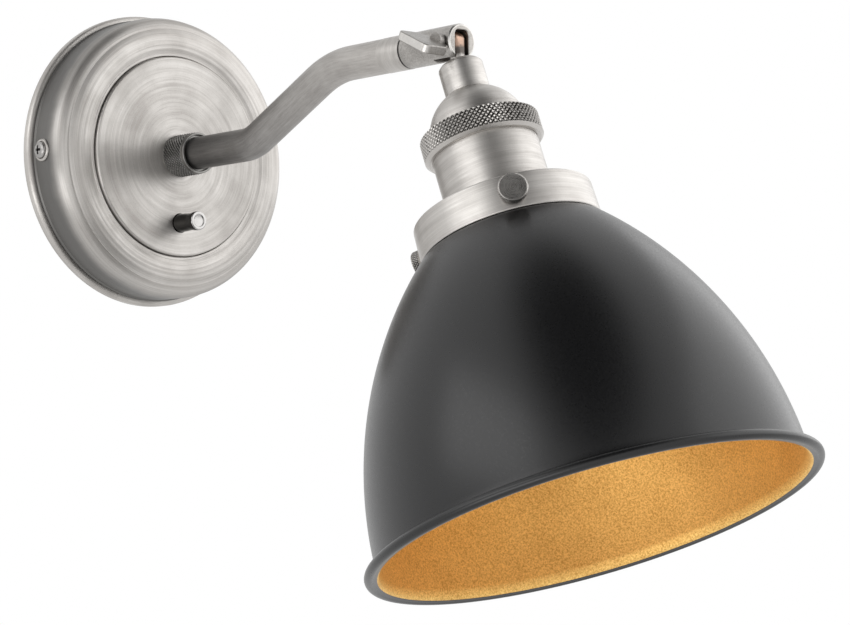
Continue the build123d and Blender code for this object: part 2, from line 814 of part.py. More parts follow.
# Knuckle: round bar, bored from behind, slotted below and in front for the head's tongue
with BuildPart() as knuckle:
    with BuildSketch(ARM_END.offset(knuckle_start_depth)):
        Circle(knuckle_radius)
    extrude(amount=knuckle_length)
    chamfer(faces().sort_by(Axis.Y)[0].edges(), knuckle_chamfer)
    with BuildSketch(ARM_END.offset(knuckle_start_depth)):
        Circle(knuckle_spigot_radius + running_gap)
    extrude(amount=slot_back_depth - knuckle_start_depth, mode=Mode.SUBTRACT)
    with BuildSketch(ARM_END.offset(slot_back_depth)):
        with Locations((0, slot_roof_rise)):
            Rectangle(slot_width, 2 * knuckle_radius, align=(Align.CENTER, Align.MAX))
        fillet(vertices().group_by(Axis.Y)[-1], slot_corner_round)
    extrude(amount=knuckle_end_depth - slot_back_depth, mode=Mode.SUBTRACT)
    # Broken edges round the slot's mouth
    mouth = faces().sort_by(Axis.Y)[0].edges()
    outer_arcs = mouth.filter_by(GeomType.CIRCLE).filter_by(lambda e: e.radius > slot_width / 2)
    chamfer([e for e in mouth if e not in outer_arcs], slot_edge_chamfer)
    with BuildSketch(HINGE.offset(-knuckle_radius)):
        Circle(pivot_hole_radius)
    extrude(amount=2 * knuckle_radius, mode=Mode.SUBTRACT)
save(knuckle, "knuckle")

# Wing screw: flat paddle with rounded edges, short hub and a threaded shank through both ears
with BuildPart() as wing_screw:
    lean = radians(wing_lean)
    wing_middle = Plane(origin=pivot, x_dir=(-1, 0, 0), z_dir=(0, -sin(lean), cos(lean)))
    wing_root = knuckle_radius + wing_root_gap
    wing_tip = wing_root + wing_length
    with BuildSketch(wing_middle.offset(-wing_offset - wing_thickness / 2)):
        Polygon(
            (wing_root, -wing_root_width / 2),
            (wing_root + wing_flare_length, -wing_width / 2),
            (wing_tip, -wing_width / 2),
            (wing_tip, wing_width / 2),
            (wing_root + wing_flare_length, wing_width / 2),
            (wing_root, wing_root_width / 2),
            align=None,
        )
        fillet(vertices().group_by(Axis.X)[-1], wing_corner_round)
        fillet(vertices().group_by(Axis.X)[0], wing_root_round)
    extrude(amount=wing_thickness)
    fillet(edges(), wing_edge_round)
    hub_start = knuckle_radius + wing_hub_gap
    with BuildSketch(HINGE.offset(hub_start)):
        Circle(wing_hub_radius)
    extrude(amount=wing_hub_length)
    with BuildSketch(HINGE.offset(-knuckle_radius + knuckle_chamfer)):
        Circle(pivot_screw_radius)
    extrude(amount=hub_start + knuckle_radius - knuckle_chamfer)
save(wing_screw, "wing_screw")

# ---------------------------------------------------------------- head
# Tongue: round-edged lug on the pivot that tapers into a stem for the neck
with BuildPart() as head_tongue:
    with BuildSketch(HEAD_SIDE.offset(-tongue_thickness / 2)):
        Circle(tongue_radius)
        Polygon(
            (-tongue_radius, 0),
            (tongue_radius, 0),
            (stem_radius, tongue_taper_drop),
            (-stem_radius, tongue_taper_drop),
            align=None,
        )
    extrude(amount=tongue_thickness)
    cheeks = faces().sort_by(Axis.X)
    fillet(cheeks[0].edges() + cheeks[-1].edges(), tongue_round)
    with BuildSketch(HEAD):
        Circle(stem_radius)
    extrude(amount=stem_length)
    with BuildSketch(HINGE.offset(-tongue_thickness)):
        Circle(pivot_hole_radius)
    extrude(amount=2 * tongue_thickness, mode=Mode.SUBTRACT)
save(head_tongue, "head_tongue")

# Thin washers between the tongue and the knuckle's ears
with BuildPart() as friction_washers:
    washer_thickness = (slot_width - tongue_thickness) / 2 - running_gap
    for hand in (-1, 1):
        with BuildSketch(HINGE.offset(hand * tongue_thickness / 2)):
            Circle(friction_washer_radius)
            Circle(pivot_hole_radius, mode=Mode.SUBTRACT)
        extrude(amount=hand * washer_thickness)
save(friction_washers, "friction_washers")

with BuildPart() as head_neck:
    with BuildSketch(HEAD_SECTION):
        Polygon(
            (stem_radius + running_gap, neck_top_drop),
            (neck_radius - neck_chamfer, neck_top_drop),
            (neck_radius, neck_top_drop + neck_chamfer),
            (neck_radius, neck_bottom),
            (neck_spigot_radius, neck_bottom),
            (neck_spigot_radius, neck_bottom + neck_spigot_length),
            (neck_bore_radius, neck_bottom + neck_spigot_length),
            (neck_bore_radius, neck_top_drop + neck_roof),
            (stem_radius + running_gap, neck_top_drop + neck_roof),
            align=None,
        )
    revolve(axis=HEAD_AXIS)
save(head_neck, "head_neck")

with BuildPart() as stem_nut:
    with BuildSketch(HEAD.offset(neck_top_drop + neck_roof)):
        RegularPolygon(stem_nut_flats / 2, 6, major_radius=False)
        Circle(stem_radius + running_gap, mode=Mode.SUBTRACT)
    extrude(amount=stem_nut_thickness)
save(stem_nut, "stem_nut")

# Dome: part of a ball, flat where the neck stands on it, with a short skirt
with BuildPart() as dome_cap:
    with BuildSketch(HEAD_SECTION):
        with BuildLine():
            mid_angle = radians(45)
            Line((neck_spigot_radius + fit_gap, neck_bottom), (neck_radius, neck_bottom))
            ThreePointArc(
                (neck_radius, neck_bottom),
                (dome_radius * sin(mid_angle), dome_equator - dome_radius * cos(mid_angle)),
                (dome_radius, dome_equator),
            )
            Polyline(
                (dome_radius, dome_equator),
                (dome_radius, holder_top),
                (dome_inner_radius, holder_top),
                (dome_inner_radius, dome_equator),
            )
            ThreePointArc(
                (dome_inner_radius, dome_equator),
                (dome_inner_radius * sin(mid_angle), dome_equator - dome_inner_radius * cos(mid_angle)),
                (dome_flat_radius, dome_flat_inside),
            )
            Polyline(
                (dome_flat_radius, dome_flat_inside),
                (neck_spigot_radius + fit_gap, dome_flat_inside),
                (neck_spigot_radius + fit_gap, neck_bottom),
            )
        make_face()
    revolve(axis=HEAD_AXIS)
save(dome_cap, "dome_cap")

with BuildPart() as dome_nut:
    with BuildSketch(HEAD.offset(dome_flat_inside)):
        RegularPolygon(dome_nut_flats / 2, 6, major_radius=False)
        Circle(neck_spigot_radius + running_gap, mode=Mode.SUBTRACT)
    extrude(amount=dome_nut_thickness)
save(dome_nut, "dome_nut")

# Knurled ring that draws the dome and the lamp holder together
with BuildPart() as knurled_ring:
    with BuildSketch(HEAD_SECTION):
        Polygon(
            (dome_radius + running_gap, ring_top),
            (ring_radius - ring_top_chamfer, ring_top),
            (ring_radius, ring_top + ring_top_chamfer),
            (ring_radius, ring_bottom - ring_bottom_chamfer),
            (ring_radius - ring_bottom_chamfer, ring_bottom),
            (holder_radius + running_gap, ring_bottom),
            (holder_radius + running_gap, holder_top),
            (dome_radius + running_gap, holder_top),
            align=None,
        )
    revolve(axis=HEAD_AXIS)
save(knurled_ring, "knurled_ring")

with BuildPart() as lamp_holder:
    with BuildSketch(HEAD_SECTION):
        Polygon(
            (insert_flange_radius + running_gap, holder_top),
            (holder_radius, holder_top),
            (holder_radius, collar_top),
            (holder_skirt_radius, collar_top),
            (holder_skirt_radius, collar_top + holder_skirt_length),
            (holder_bore_radius, collar_top + holder_skirt_length),
            (holder_bore_radius, insert_ledge),
            (insert_flange_radius + running_gap, insert_ledge),
            align=None,
        )
    revolve(axis=HEAD_AXIS)
save(lamp_holder, "lamp_holder")

# Ceramic insert with the brass screw shell, a well for the centre contact and two terminal screws
insert_bottom = insert_ledge + insert_length
screw_spots = [(-holder_screw_offset, 0), (holder_screw_offset, 0)]
with BuildPart() as lamp_insert:
    with BuildSketch(HEAD_SECTION):
        Polygon(
            (0, holder_top),
            (insert_flange_radius, holder_top),
            (insert_flange_radius, insert_ledge),
            (insert_radius, insert_ledge),
            (insert_radius, insert_bottom),
            (socket_bore_radius + socket_wall + running_gap, insert_bottom),
            (socket_bore_radius + socket_wall + running_gap, socket_floor),
            (well_radius, socket_floor),
            (well_radius, well_floor),
            (0, well_floor),
            align=None,
        )
    revolve(axis=HEAD_AXIS)
    with BuildSketch(HEAD.offset(holder_top)):
        with Locations(*screw_spots):
            Circle(holder_screw_radius + running_gap)
    extrude(amount=holder_screw_length + fit_gap, mode=Mode.SUBTRACT)
save(lamp_insert, "lamp_insert")

with BuildPart() as screw_shell:
    with BuildSketch(HEAD.offset(socket_floor)):
        Circle(socket_bore_radius + socket_wall)
        Circle(socket_bore_radius, mode=Mode.SUBTRACT)
    extrude(amount=socket_depth)
save(screw_shell, "screw_shell")

with BuildPart() as centre_contact:
    with BuildSketch(HEAD_SIDE.offset(-contact_width / 2)):
        contact_back = -contact_reach / 2
        Polygon(
            (contact_back, well_floor),
            (contact_back + contact_foot, well_floor),
            (contact_back + contact_reach, well_floor + contact_lift),
            (contact_back + contact_reach, well_floor + contact_lift + contact_thickness),
            (contact_back + contact_foot, well_floor + contact_thickness),
            (contact_back, well_floor + contact_thickness),
            align=None,
        )
    extrude(amount=contact_width)
save(centre_contact, "centre_contact")

with BuildPart() as holder_screws:
    with BuildSketch(HEAD.offset(holder_top - holder_screw_head_height)):
        with Locations(*screw_spots):
            Circle(holder_screw_head_radius)
    extrude(amount=holder_screw_head_height)
    with BuildSketch(HEAD.offset(holder_top)):
        with Locations(*screw_spots):
            Circle(holder_screw_radius)
    extrude(amount=holder_screw_length)
save(holder_screws, "holder_screws")

# Two leads from the neck's bore to the terminal screws
stem_nut_end = neck_top_drop + neck_roof + stem_nut_thickness
head_lead_start = max(stem_nut_end, stem_length) + head_lead_start_gap
head_lead_knee = neck_bottom + neck_spigot_length + head_lead_knee_gap
head_lead_end = holder_top - holder_screw_head_height
with BuildPart() as head_leads:
    for hand in (-1, 1):
        with BuildLine(HEAD_SECTION) as head_lead_path:
            FilletPolyline(
                (hand * head_lead_side_step, head_lead_start),
                (hand * head_lead_side_step, head_lead_knee),
                (hand * holder_screw_offset, head_lead_knee + head_lead_fall),
                (hand * holder_screw_offset, head_lead_end),
                radius=head_lead_turn_radius,
            )
        with BuildSketch(Plane(origin=head_lead_path.line @ 0, z_dir=head_lead_path.line % 0)):
            Circle(lead_radius)
        sweep(path=head_lead_path.line)
save(head_leads, "head_leads")

# Collar that carries the shade, and the notched ring that clamps it to the holder
def thumb_plane(index):
    angle = radians(thumb_first_angle + index * 360 / thumb_screw_count)
    outward = HEAD.x_dir * cos(angle) + HEAD.y_dir * sin(angle)
    return Plane(origin=pivot + head_down * thumb_drop, x_dir=head_down, z_dir=outward)


with BuildPart() as shade_collar:
    with BuildSketch(HEAD_SECTION):
        with BuildLine():
            Polyline(
                (holder_skirt_radius + fit_gap, collar_roof),
                (holder_skirt_radius + fit_gap, collar_top),
                (collar_radius - collar_edge_round, collar_top),
            )
            CenterArc(
                (collar_radius - collar_edge_round, collar_top + collar_edge_round),
                collar_edge_round,
                -90,
                90,
            )
            Polyline(
                (collar_radius, collar_top + collar_edge_round),
                (collar_radius, collar_bottom),
                (collar_radius - collar_wall, collar_bottom),
                (collar_radius - collar_wall, collar_roof),
                (holder_skirt_radius + fit_gap, collar_roof),
            )
        make_face()
    revolve(axis=HEAD_AXIS)
    for index in range(thumb_screw_count):
        with BuildSketch(thumb_plane(index)):
            Circle(thumb_shank_radius + running_gap)
        extrude(amount=collar_radius, mode=Mode.SUBTRACT)
save(shade_collar, "shade_collar")

with BuildPart() as gallery_ring:
    with BuildSketch(HEAD.offset(collar_roof)):
        Circle(gallery_ring_radius)
        Circle(holder_skirt_radius + running_gap, mode=Mode.SUBTRACT)
    extrude(amount=gallery_ring_height)
    with BuildSketch(HEAD.offset(collar_roof + gallery_ring_height)):
        with PolarLocations(gallery_ring_radius, gallery_notch_count):
            Rectangle(2 * gallery_notch_depth, gallery_notch_width)
    extrude(amount=-gallery_ring_height, mode=Mode.SUBTRACT)
save(gallery_ring, "gallery_ring")

for index in range(thumb_screw_count):
    with BuildPart() as thumb_screw:
        screw_plane = thumb_plane(index)
        shank_tip = shade_neck_radius + running_gap
        head_inner = collar_radius + thumb_head_gap
        with BuildSketch(screw_plane.offset(shank_tip)):
            Circle(thumb_shank_radius)
        extrude(amount=head_inner - shank_tip)
        with BuildSketch(screw_plane.offset(head_inner)):
            Circle(thumb_head_radius)
        extrude(amount=thumb_head_length)
        rims = edges().filter_by(GeomType.CIRCLE)
        chamfer(rims.filter_by(lambda e: e.radius == thumb_head_radius), thumb_head_chamfer)
    save(thumb_screw, f"thumb_screw_{index + 1}")

# Spun shade: lipped neck inside the collar, one sweeping arc and a rolled rim
with BuildPart() as shade:
    with BuildSketch(HEAD_SECTION):
        neck_lip_drop = shade_top - shade_neck_height
        half_drop = (shade_top + flare_drop) / 2
        inner_top = shade_top + shade_wall
        with BuildLine():
            Polyline(
                (shade_neck_radius - shade_wall, neck_lip_drop),
                (shade_neck_radius + shade_neck_lip, neck_lip_drop),
                (shade_neck_radius + shade_neck_lip, neck_lip_drop + shade_wall),
                (shade_neck_radius, neck_lip_drop + shade_wall),
                (shade_neck_radius, shade_top),
                (shade_outer_radius(shade_top), shade_top),
            )
            ThreePointArc(
                (shade_outer_radius(shade_top), shade_top),
                (shade_outer_radius(half_drop), half_drop),
                (shade_outer_radius(flare_drop), flare_drop),
            )
            Line(
                (shade_outer_radius(flare_drop), flare_drop),
                (flare_center - rim_flare_radius, flare_drop),
            )
            CenterArc((flare_center, flare_drop), rim_flare_radius, 180, -90)
            Line((flare_center, shade_rim), (flare_center, shade_rim + shade_wall))
            CenterArc((flare_center, flare_drop), rim_flare_radius + shade_wall, 90, 90)
            Line(
                (flare_center - rim_flare_radius - shade_wall, flare_drop),
                (shade_inner_radius(flare_drop), flare_drop),
            )
            ThreePointArc(
                (shade_inner_radius(flare_drop), flare_drop),
                (shade_inner_radius(half_drop), half_drop),
                (shade_inner_radius(inner_top), inner_top),
            )
            Polyline(
                (shade_inner_radius(inner_top), inner_top),
                (shade_neck_radius - shade_wall, inner_top),
                (shade_neck_radius - shade_wall, neck_lip_drop),
            )
        make_face()
        with Locations((shade_rim_radius + rim_bead_offset, shade_rim)):
            Circle(rim_bead_radius)
    revolve(axis=HEAD_AXIS)
save(shade, "shade")
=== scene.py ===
import json
import math

import bmesh
import bpy
import numpy as np
from mathutils import Matrix, Vector


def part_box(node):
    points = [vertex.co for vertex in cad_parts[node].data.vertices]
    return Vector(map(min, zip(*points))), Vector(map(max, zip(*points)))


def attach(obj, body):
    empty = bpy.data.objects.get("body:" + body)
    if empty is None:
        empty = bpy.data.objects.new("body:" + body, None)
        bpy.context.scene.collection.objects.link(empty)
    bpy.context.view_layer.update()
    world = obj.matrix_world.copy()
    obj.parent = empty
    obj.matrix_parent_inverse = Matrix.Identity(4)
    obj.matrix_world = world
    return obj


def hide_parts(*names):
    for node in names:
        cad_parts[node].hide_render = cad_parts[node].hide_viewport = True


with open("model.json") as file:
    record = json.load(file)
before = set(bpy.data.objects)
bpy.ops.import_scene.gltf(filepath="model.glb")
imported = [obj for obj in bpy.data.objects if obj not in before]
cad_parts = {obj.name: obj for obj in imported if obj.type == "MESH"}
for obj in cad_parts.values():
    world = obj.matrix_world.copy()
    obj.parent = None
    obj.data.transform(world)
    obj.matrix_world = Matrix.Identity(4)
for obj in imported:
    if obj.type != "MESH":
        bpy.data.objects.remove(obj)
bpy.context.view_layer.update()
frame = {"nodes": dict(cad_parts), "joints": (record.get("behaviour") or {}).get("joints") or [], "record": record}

MM = 0.001
record = frame["record"]
joints = {j["name"]: j for j in frame["joints"]}
slots = {s["node"]: s["material_slot"] for s in record["subparts"]}

# ------------------------------------------------------------------ places, in mm
PIVOT = Vector(joints["head_tilt"]["pos_m"]) / MM
TILT = math.radians(20.7)
DOWN = Vector((0, -math.sin(TILT), -math.cos(TILT)))
ARM_RISE = PIVOT.z
DISC_FRONT = 22.9
BUSHING_FRONT = 36.2
SWITCH_Z = -27.3
ARM_RADIUS, ARM_INSIDE = 6.5, 5.0
ARM_START = 24.5
ARM_FOOT = 29.7
ARM_TAIL = 14.3
SLEEVE_RADIUS, SLEEVE_LENGTH = 6.6, 12.1
# Tube and sleeve reach this far past their CAD nodes, to the joints that the photograph shows
SLEEVE_SHIFT = 6.4
KNUCKLE_JOINT = 158.0 + SLEEVE_SHIFT
KNUCKLE_FRONT = 190.9


def axes(origin, x, z):
    """A frame in metres: local z along z, local x along x, origin in mm."""
    z = Vector(z).normalized()
    x = Vector(x)
    x = (x - z * x.dot(z)).normalized()
    y = z.cross(x)
    m = Matrix((x, y, z)).transposed().to_4x4()
    m.translation = Vector(origin) * MM
    return m


ROSE = axes((0, 0, 0), (1, 0, 0), (0, -1, 0))
ARM_END = axes((0, 0, ARM_RISE), (1, 0, 0), (0, -1, 0))
SWITCH = axes((0, 0, SWITCH_Z), (1, 0, 0), (0, -1, 0))
HEAD = axes(PIVOT, (1, 0, 0), DOWN)


# ------------------------------------------------------------------ mesh helpers
def rounded(points, step=math.radians(9)):
    """A line through (r, z, round) points, with an arc of that radius at each."""
    line = []
    for i, (r, z, arc) in enumerate(points):
        here = np.array((r, z), float)
        if not arc or i in (0, len(points) - 1):
            line.append(here)
            continue
        back = np.array(points[i - 1][:2]) - here
        ahead = np.array(points[i + 1][:2]) - here
        back, ahead = back / np.linalg.norm(back), ahead / np.linalg.norm(ahead)
        opening = math.acos(max(-1, min(1, float(back @ ahead))))
        reach = arc / math.tan(opening / 2)
        middle = (back + ahead) / np.linalg.norm(back + ahead)
        centre = here + middle * arc / math.sin(opening / 2)
        first, last = here + back * reach - centre, here + ahead * reach - centre
        turn = math.pi - opening
        sign = 1 if first[0] * last[1] - first[1] * last[0] > 0 else -1
        count = max(2, int(math.ceil(turn / step)))
        for k in range(count + 1):
            a = sign * turn * k / count
            c, s = math.cos(a), math.sin(a)
            line.append(centre + (c * first[0] - s * first[1], s * first[0] + c * first[1]))
    return line


def finish_mesh(name, verts, faces, uvs, grain, material, matrix, sharp=32, cut=None):
    """Mesh object from grid data, with doubled points joined and normals outward."""
    mesh = bpy.data.meshes.new(name)
    mesh.from_pydata([tuple(v) for v in verts], [], faces)
    loops = np.empty(len(mesh.loops), np.int32)
    mesh.loops.foreach_get("vertex_index", loops)
    layer = mesh.uv_layers.new(name="UVMap")
    layer.data.foreach_set("uv", np.asarray(uvs, np.float32)[loops].ravel())
    field = mesh.attributes.new("grain", "FLOAT_VECTOR", "POINT")
    field.data.foreach_set("vector", np.asarray(grain, np.float32).ravel())
    if cut is not None:
        field = mesh.attributes.new("cut", "FLOAT", "POINT")
        field.data.foreach_set("value", np.asarray(cut, np.float32).ravel())
    bm = bmesh.new()
    bm.from_mesh(mesh)
    bmesh.ops.remove_doubles(bm, verts=bm.verts, dist=1e-7)
    bmesh.ops.dissolve_degenerate(bm, edges=bm.edges, dist=1e-8)
    bmesh.ops.recalc_face_normals(bm, faces=bm.faces)
    bm.to_mesh(mesh)
    bm.free()
    for m in material if isinstance(material, (list, tuple)) else [material]:
        mesh.materials.append(m)
    mesh.shade_smooth()
    mesh.set_sharp_from_angle(angle=math.radians(sharp))
    obj = bpy.data.objects.new(name, mesh)
    bpy.context.scene.collection.objects.link(obj)
    obj.matrix_world = matrix
    return obj


def lathe(name, line, matrix, material, columns=192, closed=False, shift=None, band=None,
          second=None, sharp=32):
    """A turned piece: line is (r, z) in mm, shift(angle, z) moves its points outward.

    band is the range of rows split along the smaller height difference, as knurling
    needs, and second is the range of rows that take the second material."""
    line = [tuple(p) for p in line]
    if closed:
        line.append(line[0])
    along = [0.0]
    for a, b in zip(line, line[1:]):
        along.append(along[-1] + math.hypot(b[0] - a[0], b[1] - a[1]))
    angles = np.linspace(0, 2 * math.pi, columns + 1)
    cos, sin = np.cos(angles), np.sin(angles)
    cos[-1], sin[-1] = cos[0], sin[0]
    radius = np.array([[r] * (columns + 1) for r, _ in line], float)
    moved = np.zeros_like(radius)
    if shift is not None:
        for i, (r, z) in enumerate(line):
            moved[i] = [shift(a, z, i) for a in angles[:-1]] + [shift(angles[0], z, i)]
    radius += moved
    cut = -moved / max(-moved.min(), 1e-6)
    heights = np.array([z for _, z in line], float)[:, None] * np.ones(columns + 1)
    verts = np.stack([radius * cos, radius * sin, heights], -1).reshape(-1, 3) * MM
    total = max(along[-1], 1e-6)
    uvs = [(j / columns, s / total) for s in along for j in range(columns + 1)]
    grain = [(s, cos[j], sin[j]) for s in along for j in range(columns + 1)]
    faces, marks = [], []
    wide = columns + 1
    for i in range(len(line) - 1):
        for j in range(columns):
            a, b, c, d = i * wide + j, i * wide + j + 1, (i + 1) * wide + j + 1, (i + 1) * wide + j
            mark = 1 if second and second[0] <= i < second[1] else 0
            if band and band[0] <= i < band[1]:
                level = abs(radius[i][j] - radius[i + 1][j + 1])
                other = abs(radius[i][j + 1] - radius[i + 1][j])
                pair = [(a, b, c), (a, c, d)] if level <= other else [(a, b, d), (b, c, d)]
                faces += pair
                marks += [mark, mark]
            else:
                faces.append((a, b, c, d))
                marks.append(mark)
    obj = finish_mesh(name, verts, faces, uvs, grain, material, matrix, sharp, cut)
    if second:
        paint_rows(obj, along[second[0]], along[second[1]])
    return obj


def paint_rows(obj, low, high):
    """Gives the faces between two places along a lathe's line the second material."""
    field = obj.data.attributes["grain"].data
    for face in obj.data.polygons:
        if all(low - 1e-3 <= field[v].vector[0] <= high + 1e-3 for v in face.vertices):
            face.material_index = 1


def knurl(radius, low, high, pitch, depth, flat=0.18):
    """Rows and outward shift for diamond knurling on a band of a lathe."""
    around = int(round(2 * math.pi * radius / pitch))
    up = max(1, int(round((high - low) / pitch)))
    rows = [(radius, low + (high - low) * k / (4 * up)) for k in range(4 * up + 1)]

    def shift(angle, z, _):
        if z < low - 1e-6 or z > high + 1e-6:
            return 0.0
        a = angle * around / (2 * math.pi)
        b = (z - low) / (high - low) * up
        f = 1 - abs(((a + b) % 1) * 2 - 1)
        g = 1 - abs(((a - b) % 1) * 2 - 1)
        return -depth * (1 - min(1.0, min(f, g) / (1 - flat)))

    return rows, shift, around * 4


def place(obj, body, *nodes, slot=None):
    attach(obj, body)
    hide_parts(*nodes)
    slot or slots[nodes[0]]
    return obj


# ------------------------------------------------------------------ materials
class Tree:
    """Node tree of a new material, or of the world."""

    def __init__(self, owner):
        if isinstance(owner, str):
            self.material = bpy.data.materials.new(owner)
            self.material.use_nodes = True
            self.tree = self.material.node_tree
            self.shader = self.tree.nodes["Principled BSDF"]
        else:
            self.tree = owner.node_tree
            self.tree.nodes.clear()

    def add(self, kind, inputs=(), **settings):
        node = self.tree.nodes.new(kind)
        for key, value in settings.items():
            setattr(node, key, value)
        for key, value in dict(inputs).items():
            if isinstance(value, bpy.types.NodeSocket):
                self.tree.links.new(value, node.inputs[key])
            else:
                node.inputs[key].default_value = value
        return node

    def math(self, operation, a, b=0.0, c=0.0):
        return self.add("ShaderNodeMath", {0: a, 1: b, 2: c}, operation=operation).outputs[0]

    def ramp(self, value, low, high, to_low, to_high, soft=False):
        return self.add(
            "ShaderNodeMapRange",
            {"Value": value, "From Min": low, "From Max": high, "To Min": to_low, "To Max": to_high},
            interpolation_type="SMOOTHSTEP" if soft else "LINEAR",
        ).outputs[0]

    def mix(self, fac, a, b):
        node = self.add("ShaderNodeMix", data_type="RGBA")
        for index, value in ((0, fac), (6, a), (7, b)):
            if isinstance(value, bpy.types.NodeSocket):
                self.tree.links.new(value, node.inputs[index])
            elif index == 0:
                node.inputs[index].default_value = value
            else:
                node.inputs[index].default_value = (*value, 1)
        return node.outputs[2]

    def noise(self, vector, scale, detail=2.0, roughness=0.5):
        node = self.add(
            "ShaderNodeTexNoise",
            {"Vector": vector, "Scale": scale, "Detail": detail, "Roughness": roughness},
        )
        return node.outputs["Fac"]

    def set(self, **values):
        for key, value in values.items():
            socket = self.shader.inputs[key.replace("_", " ")]
            if isinstance(value, bpy.types.NodeSocket):
                self.tree.links.new(value, socket)
            elif socket.type == "RGBA":
                socket.default_value = (*value, 1)
            else:
                socket.default_value = value

    def bump(self, height, strength, distance):
        node = self.add(
            "ShaderNodeBump", {"Height": height, "Strength": strength, "Distance": distance}
        )
        self.set(Normal=node.outputs[0])


def grain_vector(t, along, around, source):
    """Stretched coordinates for turning marks: fine across the grain and long round it."""
    if source == "made":
        field = t.add("ShaderNodeAttribute", attribute_name="grain").outputs["Vector"]
        part = t.add("ShaderNodeSeparateXYZ", {0: field})
        s, c, d = part.outputs[0], part.outputs[1], part.outputs[2]
    else:
        part = t.add("ShaderNodeSeparateXYZ", {0: t.add("ShaderNodeTexCoord").outputs["Object"]})
        a, b = ("X", "Z") if source == "Y" else ("X", "Y")
        x = t.math("MULTIPLY", part.outputs[a], 1000.0)
        y = t.math("MULTIPLY", part.outputs[b], 1000.0)
        h = t.math("MULTIPLY", part.outputs["Y" if source == "Y" else "Z"], 1000.0)
        r = t.math("SQRT", t.math("ADD", t.math("MULTIPLY", x, x), t.math("MULTIPLY", y, y)))
        safe = t.math("MAXIMUM", r, 0.2)
        s, c, d = t.math("ADD", r, h), t.math("DIVIDE", x, safe), t.math("DIVIDE", y, safe)
    return t.add(
        "ShaderNodeCombineXYZ",
        {
            0: t.math("MULTIPLY", s, along),
            1: t.math("MULTIPLY", c, around),
            2: t.math("MULTIPLY", d, around),
        },
    ).outputs[0]


def brushed(name, light, dark, rough=0.41, aniso=0.6, source="made", fine=4.0, band=0.5,
            bump=0.12, contrast=1.0, tangent="UV", recess_shade=0.0, darker_toward_wall=False):
    """Turned and brushed metal: fine marks, wider bands, soft tarnish and worn specks."""
    t = Tree(name)
    marks = t.noise(grain_vector(t, fine, 1.6, source), 1.0, 3.0, 0.6)
    bands = t.noise(grain_vector(t, band, 0.7, source), 1.0, 2.0, 0.5)
    spot = t.add("ShaderNodeTexCoord").outputs["Object"]
    cloud = t.noise(spot, 70.0, 3.0, 0.55)
    speck = t.noise(spot, 2600.0, 1.0, 0.5)
    fac = t.ramp(marks, 0.3, 0.7, 0.0, 0.34 * contrast)
    fac = t.math("ADD", fac, t.ramp(bands, 0.3, 0.7, 0.0, 0.36 * contrast))
    fac = t.math("ADD", fac, t.ramp(cloud, 0.35, 0.7, 0.0, 0.22 * contrast))
    fac = t.math("ADD", fac, t.ramp(speck, 0.55, 0.8, 0.0, 0.18 * contrast))
    fac = t.math("MINIMUM", fac, 1.0)
    colour = t.mix(fac, light, dark)
    # Painted shade: knurl grooves and cross recesses darkened to near black by how deep they are cut.
    if recess_shade:
        cut = t.add("ShaderNodeAttribute", attribute_name="cut").outputs["Fac"]
        colour = t.mix(t.ramp(cut, 0.25, 0.85, 0.0, recess_shade), colour, (0.012, 0.011, 0.010))
    # Darker towards the wall: within about 20 mm of the wall the colour darkens, with a cloudy edge.
    if darker_toward_wall:
        depth = t.add("ShaderNodeSeparateXYZ", {0: spot}).outputs[2]
        depth = t.math("ADD", t.math("MULTIPLY", depth, 1000.0), t.ramp(cloud, 0.3, 0.7, -1.2, 1.2))
        wall_darkening = t.ramp(depth, 12.0, 20.3, 0.94, 0.0, soft=True)
        colour = t.mix(wall_darkening, colour, (0.13, 0.127, 0.122))
    t.set(Base_Color=colour, Metallic=1.0, Anisotropic=aniso, Anisotropic_Rotation=0.25)
    wear = t.math("ADD", t.ramp(marks, 0.25, 0.75, -0.07, 0.07), rough)
    t.set(Roughness=t.math("ADD", wear, t.ramp(cloud, 0.3, 0.7, -0.03, 0.05)))
    if tangent == "UV":
        turn = t.add("ShaderNodeTangent", direction_type="UV_MAP", uv_map="UVMap")
    else:
        turn = t.add("ShaderNodeTangent", direction_type="RADIAL", axis=tangent)
    t.set(Tangent=turn.outputs[0])
    t.bump(t.math("ADD", marks, t.math("MULTIPLY", bands, 0.6)), bump, 0.0002)
    return t.material


def plain(name, light, dark, metallic=0.0, rough=0.45, scale=400.0, bump=0.06, **more):
    """Moulded, glazed or plated surface with soft mottling and a fine bump."""
    t = Tree(name)
    spot = t.add("ShaderNodeTexCoord").outputs["Object"]
    cloud = t.noise(spot, scale * 0.12, 2.0, 0.5)
    fine = t.noise(spot, scale * 4, 2.0, 0.6)
    t.set(Base_Color=t.mix(t.ramp(cloud, 0.3, 0.7, 0.0, 1.0), light, dark), Metallic=metallic)
    t.set(Roughness=t.ramp(fine, 0.2, 0.8, rough - 0.05, rough + 0.06), **more)
    t.bump(fine, bump, 0.0001)
    return t.material


NICKEL = (0.60, 0.58, 0.555)
NICKEL_DARK = (0.36, 0.34, 0.32)
GUN = (0.30, 0.293, 0.28)
GUN_DARK = (0.12, 0.116, 0.11)
CAST = (0.46, 0.44, 0.415)
CAST_DARK = (0.20, 0.19, 0.18)
PAINT_BLACK = (0.0025, 0.0025, 0.003)
PAINT_BLACK_PALE = (0.004, 0.004, 0.0045)
GOLD = (1.0, 0.68, 0.24)
GOLD_DARK = (0.55, 0.31, 0.08)
# Faces of the wing, as directions in the object, which take painted highlights and painted shade
WING_CORNER = (-0.7, -0.65, -0.29)
WING_SIDE = (-1.0, 0.0, 0.0)
WING_TOP = (0, -0.41, 0.91)
WING_FRONT = (0, -0.91, -0.41)

